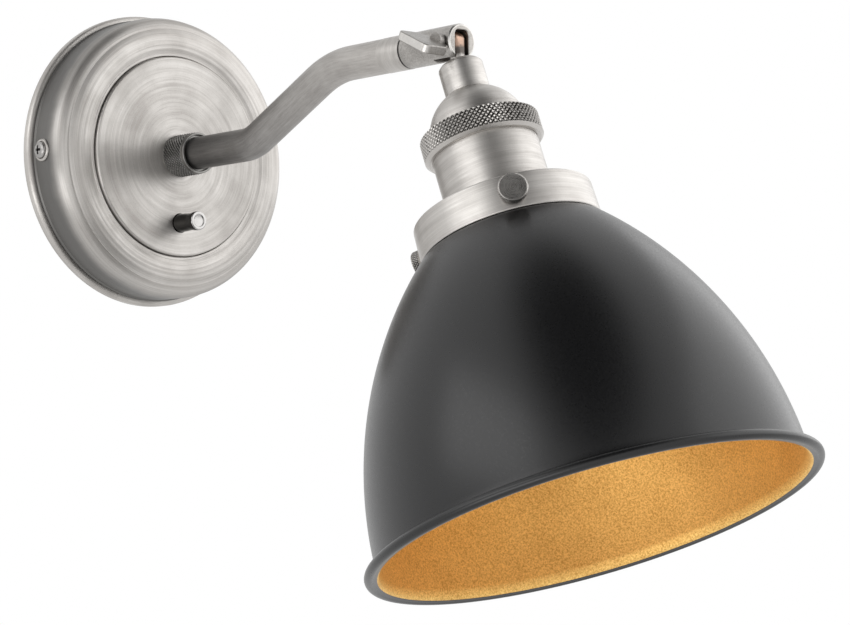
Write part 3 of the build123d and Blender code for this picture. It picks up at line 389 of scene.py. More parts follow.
nickel = brushed("brushed_nickel", NICKEL, NICKEL_DARK)
nickel_rose = brushed("brushed_nickel_rose", NICKEL, NICKEL_DARK, source="Y", tangent="Y",
                      contrast=1.25, fine=7.0, aniso=0.7)
nickel_cover = brushed("brushed_nickel_cover", NICKEL, NICKEL_DARK, contrast=1.3, darker_toward_wall=True)
# The knurled and recessed metals below take painted shade in their grooves and recesses.
gunmetal = brushed("gunmetal_knurl", GUN, GUN_DARK, rough=0.34, aniso=0.0, recess_shade=0.96)
knurl_metal = brushed("nickel_knurl", (0.56, 0.54, 0.515), (0.42, 0.40, 0.38),
                      rough=0.28, aniso=0.0, recess_shade=0.96)
copper = plain("copper_tone", (0.50, 0.33, 0.25), (0.36, 0.24, 0.19), 1.0, 0.3)
chrome = plain("bright_chrome", (0.50, 0.49, 0.48), (0.37, 0.36, 0.35), 1.0, 0.16, 900.0, bump=0.05)
# Chrome painted dark: a painted dark reflection for the switch button's sides.
chrome_painted_dark = plain("chrome_painted_dark", (0.07, 0.068, 0.065), (0.045, 0.043, 0.04), 1.0, 0.2, bump=0.03)
screw_metal = brushed("screw_head_metal", (0.42, 0.41, 0.40), (0.26, 0.25, 0.24), rough=0.28,
                      aniso=0.0, recess_shade=0.96)
zinc = plain("zinc_steel", (0.60, 0.60, 0.58), (0.45, 0.45, 0.43), 1.0, 0.3, 900.0)
brass = plain("plain_brass", (0.78, 0.58, 0.26), (0.62, 0.44, 0.18), 1.0, 0.28)
rubber = plain("black_rubber", (0.03, 0.03, 0.03), (0.05, 0.05, 0.05), 0.0, 0.7)
ceramic = plain("glazed_ceramic", (0.88, 0.87, 0.84), (0.82, 0.80, 0.76), 0.0, 0.12,
                Coat_Weight=0.6)
white = plain("white_plastic", (0.84, 0.83, 0.80), (0.78, 0.77, 0.73), 0.0, 0.45)
black = plain("black_plastic", (0.03, 0.03, 0.032), (0.045, 0.045, 0.045), 0.0, 0.4)
brown = plain("brown_insulation", (0.30, 0.13, 0.06), (0.24, 0.10, 0.05), 0.0, 0.35)
blue = plain("blue_insulation", (0.05, 0.16, 0.50), (0.04, 0.12, 0.42), 0.0, 0.35)
green = plain("green_yellow_insulation", (0.20, 0.45, 0.10), (0.65, 0.58, 0.08), 0.0, 0.35)


def arm_metal():
    """Tube metal: darker near the rose and lighter towards its end, with lengthwise streaks."""
    t = Tree("arm_gunmetal")
    field = t.add("ShaderNodeAttribute", attribute_name="grain").outputs["Vector"]
    part = t.add("ShaderNodeSeparateXYZ", {0: field})
    streak = t.add(
        "ShaderNodeCombineXYZ",
        {
            0: t.math("MULTIPLY", part.outputs[0], 0.12),
            1: t.math("MULTIPLY", part.outputs[1], 9.0),
            2: t.math("MULTIPLY", part.outputs[2], 9.0),
        },
    ).outputs[0]
    lines = t.noise(streak, 1.0, 4.0, 0.6)
    spot = t.add("ShaderNodeTexCoord").outputs["Object"]
    cloud = t.noise(spot, 90.0, 3.0, 0.55)
    speck = t.noise(spot, 2400.0, 1.0, 0.5)
    span = t.ramp(part.outputs[0], 18.0, 128.0, 0.0, 1.0)
    fac = t.math("ADD", t.ramp(lines, 0.3, 0.7, 0.0, 0.45), t.ramp(cloud, 0.3, 0.7, 0.0, 0.35))
    fac = t.math("MINIMUM", t.math("ADD", fac, t.ramp(speck, 0.55, 0.8, 0.0, 0.25)), 1.0)
    near = t.mix(fac, (0.20, 0.195, 0.19), (0.10, 0.096, 0.092))
    far = t.mix(fac, (0.52, 0.50, 0.475), (0.31, 0.29, 0.275))
    t.set(Base_Color=t.mix(span, near, far), Metallic=1.0)
    t.set(Roughness=t.ramp(lines, 0.25, 0.75, 0.36, 0.48))
    t.bump(t.math("ADD", lines, t.math("MULTIPLY", speck, 0.4)), 0.1, 0.0002)
    return t.material


def facing(t, normal, way):
    """How far a surface's own normal agrees with a fixed direction of the object."""
    return t.add("ShaderNodeVectorMath", {0: normal, 1: way}, operation="DOT_PRODUCT").outputs["Value"]


def cast_metal():
    """Knuckle and wing: blasted grey metal, with painted highlights at the wing's corner and outer edge and at the
    knuckle's end ring, painted shade on the wing's top and front faces and a painted shadow at the knuckle's joint
    with the sleeve.

    The masks pick faces of the wing by their own direction and place. Their tones are set from the photograph."""
    t = Tree("aged_nickel_cast")
    coords = t.add("ShaderNodeTexCoord").outputs
    spot = coords["Object"]
    cloud = t.noise(spot, 150.0, 3.0, 0.6)
    fine = t.noise(spot, 1900.0, 3.0, 0.6)
    fac = t.math("ADD", t.ramp(cloud, 0.3, 0.7, 0.0, 0.5), t.ramp(fine, 0.35, 0.7, 0.0, 0.5))
    colour = t.mix(fac, CAST, CAST_DARK)
    part = t.add("ShaderNodeSeparateXYZ", {0: spot})
    x, y = part.outputs[0], t.math("MULTIPLY", part.outputs[1], 1000.0)
    rise = t.math("SUBTRACT", part.outputs[2], ARM_RISE * MM)
    radius = t.math("SQRT", t.math("ADD", t.math("MULTIPLY", x, x), t.math("MULTIPLY", rise, rise)))
    radius = t.math("MULTIPLY", radius, 1000.0)
    outer = t.ramp(radius, 5.6, 6.1, 0.0, 1.0)
    # Painted shadow: a near-black ring on the knuckle's outside where it meets the sleeve.
    seam_shadow = t.ramp(y, -KNUCKLE_JOINT - 0.35, -KNUCKLE_JOINT, 0.0, 0.95)
    colour = t.mix(t.math("MULTIPLY", outer, seam_shadow), colour, (0.02, 0.019, 0.018))
    on_wing = t.ramp(x, -0.0075, -0.0065, 1.0, 0.0)
    # Painted highlight on the wing's rounded corner.
    corner_highlight = t.ramp(facing(t, coords["Normal"], WING_CORNER), 0.72, 0.97, 0.0, 0.35)
    painted_highlight = t.math("MULTIPLY", corner_highlight, on_wing)
    # Painted highlight: a pale ring round the knuckle's front end.
    ring = t.math("MULTIPLY", outer, t.ramp(y, -KNUCKLE_FRONT - 0.4, -KNUCKLE_FRONT, 0.85, 0.0))
    ring = t.math("MULTIPLY", ring, t.ramp(radius, 6.7, 7.0, 1.0, 0.0))
    painted_highlight = t.math("MAXIMUM", painted_highlight, ring)
    # Painted highlight on the faces at the wing's outer end that face outward.
    side = t.ramp(facing(t, coords["Normal"], WING_SIDE), 0.90, 0.99, 0.0, 0.5)
    edge = t.math("MULTIPLY", side, t.ramp(x, -0.019, -0.018, 1.0, 0.0))
    painted_highlight = t.math("MAXIMUM", painted_highlight, edge)
    # Painted shade: the wing's top and front faces darkened.
    top = facing(t, coords["Normal"], WING_TOP)
    flat = t.math("MAXIMUM", top, facing(t, coords["Normal"], WING_FRONT))
    shaded = t.math("MULTIPLY", t.ramp(flat, 0.80, 0.97, 0.0, 0.3), on_wing)
    colour = t.mix(shaded, colour, (0.17, 0.16, 0.152))
    # The painted highlights go on last, in pale grey.
    t.set(Base_Color=t.mix(painted_highlight, colour, (0.80, 0.78, 0.75)), Metallic=1.0)
    t.set(Roughness=t.ramp(fine, 0.3, 0.7, 0.28, 0.40))
    t.bump(t.math("ADD", fine, cloud), 0.22, 0.0002)
    return t.material


def lug_finish():
    """Copper tone on the lug, a painted shade band under it and pale metal down the stem."""
    t = Tree("copper_lug")
    field = t.add("ShaderNodeAttribute", attribute_name="grain").outputs["Vector"]
    along = t.add("ShaderNodeSeparateXYZ", {0: field}).outputs[0]
    spot = t.add("ShaderNodeTexCoord").outputs["Object"]
    cloud = t.noise(spot, 260.0, 3.0, 0.6)
    fine = t.noise(spot, 2400.0, 2.0, 0.5)
    warm = t.mix(t.ramp(cloud, 0.3, 0.7, 0.0, 1.0), (0.52, 0.34, 0.25), (0.34, 0.24, 0.19))
    edge = t.math("ADD", along, t.ramp(cloud, 0.3, 0.7, -0.5, 0.5))
    # Painted shade: a dark band where the lug turns under into the stem.
    under_lug_shade = t.mix(t.ramp(edge, 2.2, 3.6, 0.0, 1.0, soft=True), warm, (0.10, 0.088, 0.08))
    t.set(Base_Color=t.mix(t.ramp(edge, 5.0, 6.5, 0.0, 1.0, soft=True), under_lug_shade, (0.40, 0.38, 0.36)))
    t.set(Metallic=1.0, Roughness=t.ramp(fine, 0.3, 0.7, 0.26, 0.36))
    t.bump(fine, 0.1, 0.0001)
    return t.material


def black_paint():
    """Satin black, with a faint orange peel."""
    t = Tree("satin_black")
    spot = t.add("ShaderNodeTexCoord").outputs["Object"]
    peel = t.noise(spot, 1500.0, 2.0, 0.5)
    cloud = t.noise(spot, 30.0, 3.0, 0.5)
    t.set(Base_Color=t.mix(t.ramp(cloud, 0.3, 0.7, 0.0, 1.0), PAINT_BLACK, PAINT_BLACK_PALE))
    t.set(Roughness=t.ramp(peel, 0.3, 0.7, 0.27, 0.34), Specular_IOR_Level=0.5)
    t.bump(peel, 0.05, 0.0002)
    return t.material


def gold_paint():
    """Metallic gold with visible flake."""
    t = Tree("metallic_gold")
    spot = t.add("ShaderNodeTexCoord").outputs["Object"]
    flake = t.noise(spot, 1500.0, 3.0, 0.7)
    cloud = t.noise(spot, 45.0, 3.0, 0.5)
    fac = t.math("ADD", t.ramp(flake, 0.38, 0.66, 0.0, 0.75), t.ramp(cloud, 0.3, 0.7, 0.0, 0.25))
    fac = t.math("MINIMUM", fac, 1.0)
    t.set(Base_Color=t.mix(fac, GOLD, GOLD_DARK), Metallic=0.95)
    t.set(Roughness=t.ramp(flake, 0.3, 0.7, 0.5, 0.66))
    t.bump(flake, 0.25, 0.0002)
    return t.material


arm_tube_material = arm_metal()
nickel_cast = cast_metal()
lug_metal = lug_finish()
satin_black = black_paint()
gold = gold_paint()

for name, obj in frame["nodes"].items():
    finish = {
        "aged_nickel": nickel_rose,
        "dark_gunmetal": nickel_rose,
        "bright_chrome": chrome,
        "copper_tone": copper,
        "black_gold": satin_black,
        "zinc_steel": zinc,
        "brass": brass,
        "black_rubber": rubber,
        "white_plastic": white,
        "black_plastic": black,
        "brown_pvc": brown,
        "blue_pvc": blue,
        "green_pvc": green,
        "white_ceramic": ceramic,
    }[slots[name]]
    if name in ("knuckle", "wing_screw"):
        finish = nickel_cast
    obj.data.materials.clear()
    obj.data.materials.append(finish)

# ------------------------------------------------------------------ rose
place(
    lathe(
        "rose_cover_spun",
        rounded(
            [
                (56.5, 3.6, 0),
                (58.0, 3.6, 0.22),
                (58.0, 4.2, 0.22),
                (57.5, 4.75, 0.3),
                (57.5, 20.5, 6.0),
                (52.6, 20.5, 0.9),
                *[(r, 22.1 - 0.035 * (r - 46.5) ** 2 + 0.028 * math.cos(math.pi * (r - 42)), 0)
                  for r in np.arange(51.0, 42.3, -0.2)],
                (42.3, 21.62, 0),
                (41.1, 21.5, 0.35),
                (41.1, 19.75, 0.2),
                (5.05, 19.7, 0),
                (5.05, 18.7, 0),
                (42.1, 18.7, 0.5),
                (42.1, 20.6, 0.5),
                (51.0, 19.6, 1.0),
                (56.5, 19.5, 5.0),
                (56.5, 3.6, 0),
            ],
            math.radians(6),
        ),
        ROSE,
        nickel_cover,
        columns=256,
    ),
    "fixed_lamp",
    "rose_cover",
)

rows, shift, count = knurl(8.6, 23.4, 34.2, pitch=1.5, depth=0.42, flat=0.0)
front = BUSHING_FRONT
profile = rounded([(5.0, DISC_FRONT, 0), (8.35, DISC_FRONT, 0.3), (8.45, 23.3, 0)])
profile += rows
first_row = len(profile) - len(rows)
profile += rounded(
    [
        (8.35, 34.3, 0),
        (8.3, 34.45, 0.1),
        (8.3, front, 0.35),
        (7.3, front, 0.3),
        (7.3, front - 1.5, 0.1),
        (6.56, front - 1.5, 0),
        (6.56, ARM_START, 0),
        (5.0, ARM_START, 0),
        (5.0, DISC_FRONT, 0),
    ]
)
place(
    lathe("arm_bushing_knurled", profile, ROSE, gunmetal, columns=count, shift=shift,
          band=(first_row, first_row + len(rows) - 1)),
    "fixed_lamp",
    "arm_bushing",
)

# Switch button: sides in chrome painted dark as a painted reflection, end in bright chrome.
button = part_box("switch_button")
tip = -button[0].y / MM
place(
    lathe(
        "switch_button_turned",
        rounded(
            [
                (0, 15.1, 0),
                (3.7, 15.1, 0.2),
                (3.7, 25.4, 3.0),
                (3.45, 30.5, 8.0),
                (3.85, tip - 1.6, 0.6),
                (3.85, tip, 0.45),
                (2.6, tip, 0.3),
                (2.3, tip - 0.25, 1.0),
                (0, tip - 0.35, 0),
            ]
        ),
        SWITCH,
        [chrome, chrome_painted_dark],
        columns=96,
        second=(0, 24),
    ),
    "switch_button",
    "switch_button",
)


def screw_head(name, matrix, radius, height, arm, width, deep):
    """Pan head with a tapering cross recess, as one fine grid."""
    columns, rings = 144, 44
    points = rounded([(radius * 0.93, 0, 0), (radius, 0.25, 0.3), (radius, height * 0.55, 0.9),
                      (radius * 0.62, height, 2.2), (0, height, 0)])
    outer = [p for p in points if p[0] > radius * 0.62]
    inner = [(radius * 0.62 * (1 - k / rings), 0) for k in range(rings + 1)]
    verts, uvs, grain, faces, cut = [], [], [], [], []
    line = [(r, z) for r, z in outer] + inner
    for i, (r, z) in enumerate(line):
        for j in range(columns + 1):
            a = 2 * math.pi * (j % columns) / columns
            x, y = r * math.cos(a), r * math.sin(a)
            level, sunk = z, 0.0
            if i >= len(outer):
                level = outer[-1][1] + (height - outer[-1][1]) * (1 - (r / (radius * 0.62)) ** 2)
                for p, q in ((abs(x), abs(y)), (abs(y), abs(x))):
                    side = min(1.0, max(0.0, (width - q) / 0.12))
                    end = min(1.0, max(0.0, (arm - p) / 0.45))
                    level = min(level, height - deep * min(side, end) if min(side, end) else level)
                    sunk = max(sunk, min(side, end))
            cut.append(sunk)
            verts.append((x * MM, y * MM, level * MM))
            uvs.append((j / columns, i / len(line)))
            grain.append((r, math.cos(a), math.sin(a)))
    wide = columns + 1
    for i in range(len(line) - 1):
        for j in range(columns):
            a = i * wide + j
            faces.append((a, a + 1, a + wide + 1, a + wide))
    faces.append(tuple(j for j in reversed(range(columns))))
    return finish_mesh(name, verts, faces, uvs, grain, screw_metal, matrix, 40, cut)


for side, tag in ((-1, "left"), (1, "right")):
    spot = axes((side * 58.0, -9.5, 0), (0, 0, 1), (side, 0, 0))
    head = screw_head(f"cover_screw_head_{tag}", spot, radius=3.35, height=1.95, arm=1.9,
                      width=0.5, deep=1.0)
    place(head, "fixed_lamp", "cover_screws")
    ring = lathe(
        f"cup_washer_{tag}",
        rounded(
            [
                (2.0, -0.45, 0),
                (4.6, -0.45, 0.1),
                (4.45, 0.1, 0.4),
                (4.0, 0.5, 0.35),
                (3.5, 0.35, 0.2),
                (3.4, 0.0, 0.1),
                (2.0, 0.0, 0),
                (2.0, -0.45, 0),
            ]
        ),
        spot,
        nickel,
        columns=96,
    )
    place(ring, "fixed_lamp", "cup_washers")


# ------------------------------------------------------------------ arm
def arm_path():
    """Centre line of the tube as (y, z, angle), in mm and radians."""
    bend = math.radians(26)
    first, second = 22.0, 45.0
    corner_1 = BUSHING_FRONT + ARM_FOOT + first * math.tan(bend / 2)
    corner_2 = corner_1 + ARM_RISE / math.tan(bend)
    end = corner_2 + second * math.tan(bend / 2) + ARM_TAIL + SLEEVE_SHIFT
    start = corner_1 - first * math.tan(bend / 2)
    points = [(d, 0.0, 0.0) for d in np.linspace(ARM_START, start, 14)]
    for k in range(1, 17):
        a = bend * k / 16
        points.append((start + first * math.sin(a), first * (1 - math.cos(a)), a))
    d0, z0, _ = points[-1]
    far = corner_2 - second * math.tan(bend / 2) * math.cos(bend)
    up = ARM_RISE - second * math.tan(bend / 2) * math.sin(bend)
    points += [(d0 + (far - d0) * k / 10, z0 + (up - z0) * k / 10, bend) for k in range(1, 11)]
    for k in range(1, 25):
        a = bend * (1 - k / 24)
        out = far + second * (math.sin(bend) - math.sin(a))
        points.append((out, up + second * (math.cos(a) - math.cos(bend)), a))
    d1, z1, _ = points[-1]
    points += [(d1 + (end - d1) * k / 6, z1, 0.0) for k in range(1, 7)]
    return points


def tube(name, points, outer, inner, material):
    """Hollow tube along the arm's centre line, with the grain attribute along its run."""
    columns = 96
    verts, uvs, grain, faces = [], [], [], []
    run = [0.0]
    for a, b in zip(points, points[1:]):
        run.append(run[-1] + math.hypot(b[0] - a[0], b[1] - a[1]))
    rings = [(p, s, outer) for p, s in zip(points, run)]
    rings += [(p, s, inner) for p, s in reversed(list(zip(points, run)))]
    rings.append(rings[0])
    for (d, z, a), s, r in rings:
        for j in range(columns + 1):
            q = 2 * math.pi * (j % columns) / columns
            x, n = r * math.cos(q), r * math.sin(q)
            verts.append((x * MM, -(d - n * math.sin(a)) * MM, (z + n * math.cos(a)) * MM))
            uvs.append((j / columns, s / run[-1]))
            grain.append((s, math.cos(q), math.sin(q)))
    wide = columns + 1
    for i in range(len(rings) - 1):
        for j in range(columns):
            a = i * wide + j
            faces.append((a, a + 1, a + wide + 1, a + wide))
    return finish_mesh(name, verts, faces, uvs, grain, material, Matrix.Identity(4))


path = arm_path()
place(tube("arm_tube_bent", path, ARM_RADIUS, ARM_INSIDE, arm_tube_material), "fixed_lamp", "arm_tube")
arm_end = path[-1][0]
sleeve_end = arm_end + SLEEVE_LENGTH
place(
    lathe(
        "arm_ferrule_turned",
        rounded(
            [
                (3.0, arm_end - 8, 0),
                (4.95, arm_end - 8, 0.3),
                (4.95, arm_end + 0.02, 0),
                (SLEEVE_RADIUS, arm_end + 0.02, 0.15),
                (SLEEVE_RADIUS, sleeve_end - 0.3, 0),
                (6.15, sleeve_end, 0),
                (4.2, sleeve_end, 0.1),
                (4.2, sleeve_end + 6, 0.3),
                (3.0, sleeve_end + 6, 0),
                (3.0, arm_end - 8, 0),
            ]
        ),
        ARM_END,
        nickel,
        columns=128,
    ),
    "fixed_lamp",
    "arm_ferrule",
)

# ------------------------------------------------------------------ head
NECK_TOP, NECK_BOTTOM = 8.85, 21.05
NECK_RADIUS = 8.2
DOME_RADIUS, DOME_INSIDE = 18.1, 16.8
DOME_WALL = 1.3
EQUATOR = NECK_BOTTOM + math.sqrt(DOME_RADIUS**2 - NECK_RADIUS**2)
RING_TOP = EQUATOR - 2.1
RING_BOTTOM = RING_TOP + 8.9
HOLDER_TOP = EQUATOR + 2.2
COLLAR_TOP = HOLDER_TOP + 27.1
COLLAR_BOTTOM = COLLAR_TOP + 13.1
SHADE_TOP = COLLAR_BOTTOM + 0.2
SHADE_RIM = COLLAR_BOTTOM + 104.6

place(
    lathe(
        "head_neck_turned",
        rounded(
            [
                (2.36, NECK_TOP, 0),
                (7.1, NECK_TOP, 0.35),
                (NECK_RADIUS, NECK_TOP + 1.15, 0.9),
                (NECK_RADIUS, NECK_BOTTOM - 0.15, 0.15),
                (8.0, NECK_BOTTOM, 0),
                (5.6, NECK_BOTTOM, 0),
                (5.6, NECK_BOTTOM + 6, 0.2),
                (4.3, NECK_BOTTOM + 6, 0),
                (4.3, NECK_TOP + 3.5, 0),
                (2.36, NECK_TOP + 3.5, 0),
                (2.36, NECK_TOP, 0),
            ]
        ),
        HEAD,
        nickel,
        columns=128,
    ),
    "head",
    "head_neck",
)

dome = [(5.7, NECK_BOTTOM), (NECK_RADIUS, NECK_BOTTOM)]
start = math.asin(NECK_RADIUS / DOME_RADIUS)
for k in range(1, 33):
    a = start + (math.pi / 2 - start) * k / 32
    dome.append((DOME_RADIUS * math.sin(a), EQUATOR - DOME_RADIUS * math.cos(a)))
dome += [(DOME_RADIUS, HOLDER_TOP), (DOME_INSIDE, HOLDER_TOP), (DOME_INSIDE, EQUATOR)]
inner_start = math.acos((EQUATOR - NECK_BOTTOM - DOME_WALL) / DOME_INSIDE)
for k in range(1, 17):
    a = math.pi / 2 + (inner_start - math.pi / 2) * k / 16
    dome.append((DOME_INSIDE * math.sin(a), EQUATOR - DOME_INSIDE * math.cos(a)))
dome += [(5.7, NECK_BOTTOM + DOME_WALL), (5.7, NECK_BOTTOM)]
place(lathe("dome_cap_spun", dome, HEAD, nickel, columns=160), "head", "dome_cap")

rows, shift, count = knurl(22.0, RING_TOP + 0.3, RING_BOTTOM - 1.3, pitch=1.85, depth=0.62)
profile = rounded([(18.16, RING_TOP, 0), (21.55, RING_TOP, 0.15), (21.62, RING_TOP + 0.3, 0)])
first_row = len(profile)
profile += rows
profile += rounded(
    [
        (21.9, RING_BOTTOM - 1.2, 0),
        (21.75, RING_BOTTOM - 1.05, 0.1),
        (20.75, RING_BOTTOM, 0.25),
        (19.46, RING_BOTTOM, 0),
        (19.46, HOLDER_TOP, 0),
        (18.16, HOLDER_TOP, 0),
        (18.16, RING_TOP, 0),
    ]
)
place(
    lathe("knurled_ring_cut", profile, HEAD, knurl_metal, columns=count, shift=shift,
          band=(first_row, first_row + len(rows) - 1), sharp=24),
    "head",
    "knurled_ring",
)

place(
    lathe(
        "lamp_holder_spun",
        rounded(
            [
                (17.2, HOLDER_TOP, 0),
                (19.4, HOLDER_TOP, 0.2),
                (19.4, COLLAR_TOP - 0.02, 0),
                (18.4, COLLAR_TOP, 0),
                (18.4, COLLAR_TOP + 9.5, 0.2),
                (17.2, COLLAR_TOP + 9.5, 0.2),
                (17.2, HOLDER_TOP, 0),
            ]
        ),
        HEAD,
        nickel,
        columns=192,
    ),
    "head",
    "lamp_holder",
)

place(
    lathe(
        "shade_collar_spun",
        rounded(
            [
                (18.5, COLLAR_TOP + 1.5, 0),
                (18.5, COLLAR_TOP, 0),
                (19.9, COLLAR_TOP, 0.2),
                (32.6, COLLAR_TOP + 0.05, 0.9),
                (33.0, COLLAR_BOTTOM - 0.35, 0.1),
                (32.8, COLLAR_BOTTOM, 0.12),
                (31.5, COLLAR_BOTTOM, 0.12),
                (31.5, COLLAR_TOP + 1.5, 0.8),
                (18.5, COLLAR_TOP + 1.5, 0),
            ]
        ),
        HEAD,
        nickel,
        columns=224,
    ),
    "head",
    "shade_collar",
)

for index in (1, 2, 3):
    joint = joints[f"thumb_screw_{index}_turn"]
    spot = axes(Vector(joint["pos_m"]) / MM, DOWN, joint["axis"])
    rows, shift, count = knurl(5.25, 34.35, 36.85, pitch=1.0, depth=0.26)
    profile = rounded([(0, 30.45, 0), (1.5, 30.45, 0), (1.95, 30.9, 0), (1.95, 33.8, 0),
                       (4.7, 33.8, 0.1), (5.1, 34.25, 0)])
    first_row = len(profile)
    profile += rows
    profile += rounded([(5.2, 36.9, 0), (5.0, 37.25, 0.08), (4.85, 37.25, 0.05), (4.75, 37.12, 0.05),
                        (0, 37.12, 0)])
    place(
        lathe(f"thumb_screw_{index}_knurled", profile, spot, knurl_metal, columns=count,
              shift=shift, band=(first_row, first_row + len(rows) - 1)),
        f"thumb_screw_{index}",
        f"thumb_screw_{index}",
    )

# Shade: lipped neck, one long arc, flared edge and rolled bead, gold inside
WALL_FOOT, WALL_HEAD = 76.1, 33.0
FLARE = 3.0
gain = WALL_FOOT - WALL_HEAD
arc = (gain**2 + (SHADE_RIM - SHADE_TOP) ** 2) / (2 * gain)
centre = WALL_FOOT - arc
flare_z = SHADE_RIM - FLARE
bead_r, bead_z, bead = WALL_FOOT + 2.88, SHADE_RIM, 1.77


def wall(z, off=0.0):
    """Radius of the shade's arc at a height, off millimetres inside it."""
    return centre + math.sqrt((arc - off) ** 2 - (SHADE_RIM - z) ** 2)


outside = [(29.5, SHADE_TOP - 10.3), (31.2, SHADE_TOP - 10.3), (31.2, SHADE_TOP - 9.4),
           (30.4, SHADE_TOP - 9.3), (30.4, SHADE_TOP - 0.3), (30.7, SHADE_TOP)]
outside += [(wall(SHADE_TOP) - 0.9, SHADE_TOP), (wall(SHADE_TOP) - 0.3, SHADE_TOP + 0.1)]
span = np.linspace(SHADE_TOP + 0.6, flare_z - 0.4, 90)
outside += [(wall(z), z) for z in span]
for k in range(0, 9):
    a = math.pi - math.radians(8) * k
    outside.append((WALL_FOOT + FLARE + FLARE * math.cos(a), flare_z + FLARE * math.sin(a)))
roll = [
    (bead_r + bead * math.cos(a), bead_z + bead * math.sin(a))
    for a in np.radians(np.linspace(-118, 125, 28))
]
inside = [(77.2, 185.5), (76.5, 185.25), (75.95, 184.8), (75.6, 184.1), (75.42, 183.2)]
inside += [(wall(z, 0.9), z) for z in np.linspace(182.4, SHADE_TOP + 1.1, 90)]
inside += [(wall(SHADE_TOP + 1.1, 0.9) - 0.7, SHADE_TOP + 0.9), (29.9, SHADE_TOP + 0.9),
           (29.5, SHADE_TOP + 0.5)]
line = outside + roll + inside
place(
    lathe("shade_spun", line, HEAD, [satin_black, gold], columns=288, closed=True,
          second=(len(outside) + len(roll) + 1, len(line) - 1)),
    "head",
    "shade",
)


def tongue():
    """Lug with rounded edges on the pivot, tapering into the stem."""
    columns, levels = 64, 72
    lug, cheek, stem, taper, length = 4.1, 2.9, 2.3, 8.0, 17.0
    verts, faces, grain, uvs = [], [], [], []
    for i in range(levels + 1):
        v = i / levels
        along = -lug * math.cos(math.pi * v * 1.25) if v < 0.4 else (length * (v - 0.4) / 0.6)
        fall = min(1.0, max(0.0, along / taper))
        deep = lug + (stem - lug) * fall
        wide = cheek + (stem - cheek) * fall
        if along < 0:
            deep = math.sqrt(max(0.0, lug**2 - along**2))
            wide = cheek * (1 - (-along / lug) ** 3.2) ** 0.5
        power = 0.42 + 0.58 * fall
        for j in range(columns):
            a = 2 * math.pi * j / columns
            c, n = math.cos(a), math.sin(a)
            x = math.copysign(abs(c) ** power, c) * wide
            y = math.copysign(abs(n) ** power, n) * deep
            verts.append((x * MM, y * MM, along * MM))
            grain.append((along, c, n))
            uvs.append((j / columns, v))
    for i in range(levels):
        for j in range(columns):
            a, b = i * columns + j, i * columns + (j + 1) % columns
            faces.append((a, b, b + columns, a + columns))
    faces.append(tuple(levels * columns + j for j in reversed(range(columns))))
    return finish_mesh("head_tongue_lug", verts, faces, uvs, grain, lug_metal, HEAD, 60)


place(tongue(), "head", "head_tongue")


# Socket shell with its rolled thread
SHELL_TOP = HOLDER_TOP + 4.2 + 5.5 + 4.2
SHELL_END = SHELL_TOP + 18.3
THREAD_PITCH = 3.62


def thread(angle, z, _):
    """Outward shift of the rolled thread."""
    if z < SHELL_TOP + 0.6 or z > SHELL_END - 1.4:
        return 0.0
    return 0.2 + 0.2 * math.cos(2 * math.pi * (z / THREAD_PITCH) - angle)


shell = [(13.32, z) for z in np.linspace(SHELL_END - 0.1, SHELL_TOP, 110)]
shell += [(13.55, z) for z in np.linspace(SHELL_TOP, SHELL_END - 0.1, 110)]
place(
    lathe("screw_shell_rolled", shell, HEAD, brass, columns=160, closed=True, shift=thread),
    "head",
    "screw_shell",
)

# ------------------------------------------------------------------ stage, light, camera
FRONT = Vector((-0.6754, -0.7375, 0))
RIGHT = Vector((0.7375, -0.6754, 0))
AIM = Vector((0, -0.2, -0.03))
ROOM_LIGHT = 0.5
FLOOR_HEIGHT = -0.6


def disc(name, segments, radius):
    bm = bmesh.new()
    bmesh.ops.create_circle(bm, cap_ends=True, segments=segments, radius=radius)
    mesh = bpy.data.meshes.new(name)
    bm.to_mesh(mesh)
    bm.free()
    return bpy.data.objects.new(name, mesh)


# Pale floor, white towards its edge and in reflections, and open from below
floor = disc("floor", 128, 1.3)
floor.location = (0, -0.2, FLOOR_HEIGHT)
bpy.context.scene.collection.objects.link(floor)
t = Tree("pale_floor")
spot = t.add("ShaderNodeTexCoord").outputs["Object"]
distance = t.add("ShaderNodeVectorMath", {0: spot}, operation="LENGTH").outputs["Value"]
t.set(Base_Color=(0.86, 0.86, 0.86), Roughness=0.9, Specular_IOR_Level=0.1)
glow = t.add("ShaderNodeEmission", {"Color": (1, 1, 1, 1), "Strength": 1.0})
rays = t.add("ShaderNodeLightPath").outputs
mirrored = t.math("ADD", rays["Is Glossy Ray"], rays["Is Transmission Ray"])
bare = t.math("MAXIMUM", t.ramp(distance, 0.45, 1.15, 0.0, 1.0), t.math("MINIMUM", mirrored, 1.0))
mixer = t.add("ShaderNodeMixShader", {0: bare})
t.tree.links.new(t.shader.outputs[0], mixer.inputs[1])
t.tree.links.new(glow.outputs[0], mixer.inputs[2])
under = t.add("ShaderNodeMixShader", {0: t.add("ShaderNodeNewGeometry").outputs["Backfacing"]})
t.tree.links.new(mixer.outputs[0], under.inputs[1])
t.tree.links.new(t.add("ShaderNodeBsdfTransparent").outputs[0], under.inputs[2])
t.tree.links.new(under.outputs[0], t.tree.nodes["Material Output"].inputs[0])
floor.data.materials.append(t.material)

# White for camera, glossy and transmission rays, ROOM_LIGHT for what lights the lamp
world = bpy.data.worlds.new("studio")
bpy.context.scene.world = world
world.use_nodes = True
sky = Tree(world)
rays = sky.add("ShaderNodeLightPath").outputs
seen = sky.math("ADD", rays["Is Camera Ray"], rays["Is Glossy Ray"])
seen = sky.math("MINIMUM", sky.math("ADD", seen, rays["Is Transmission Ray"]), 1.0)
level = sky.ramp(seen, 0.0, 1.0, ROOM_LIGHT, 1.0)
back = sky.add("ShaderNodeBackground", {"Color": (1, 1, 1, 1), "Strength": level})
sky.add("ShaderNodeOutputWorld", {"Surface": back.outputs[0]})


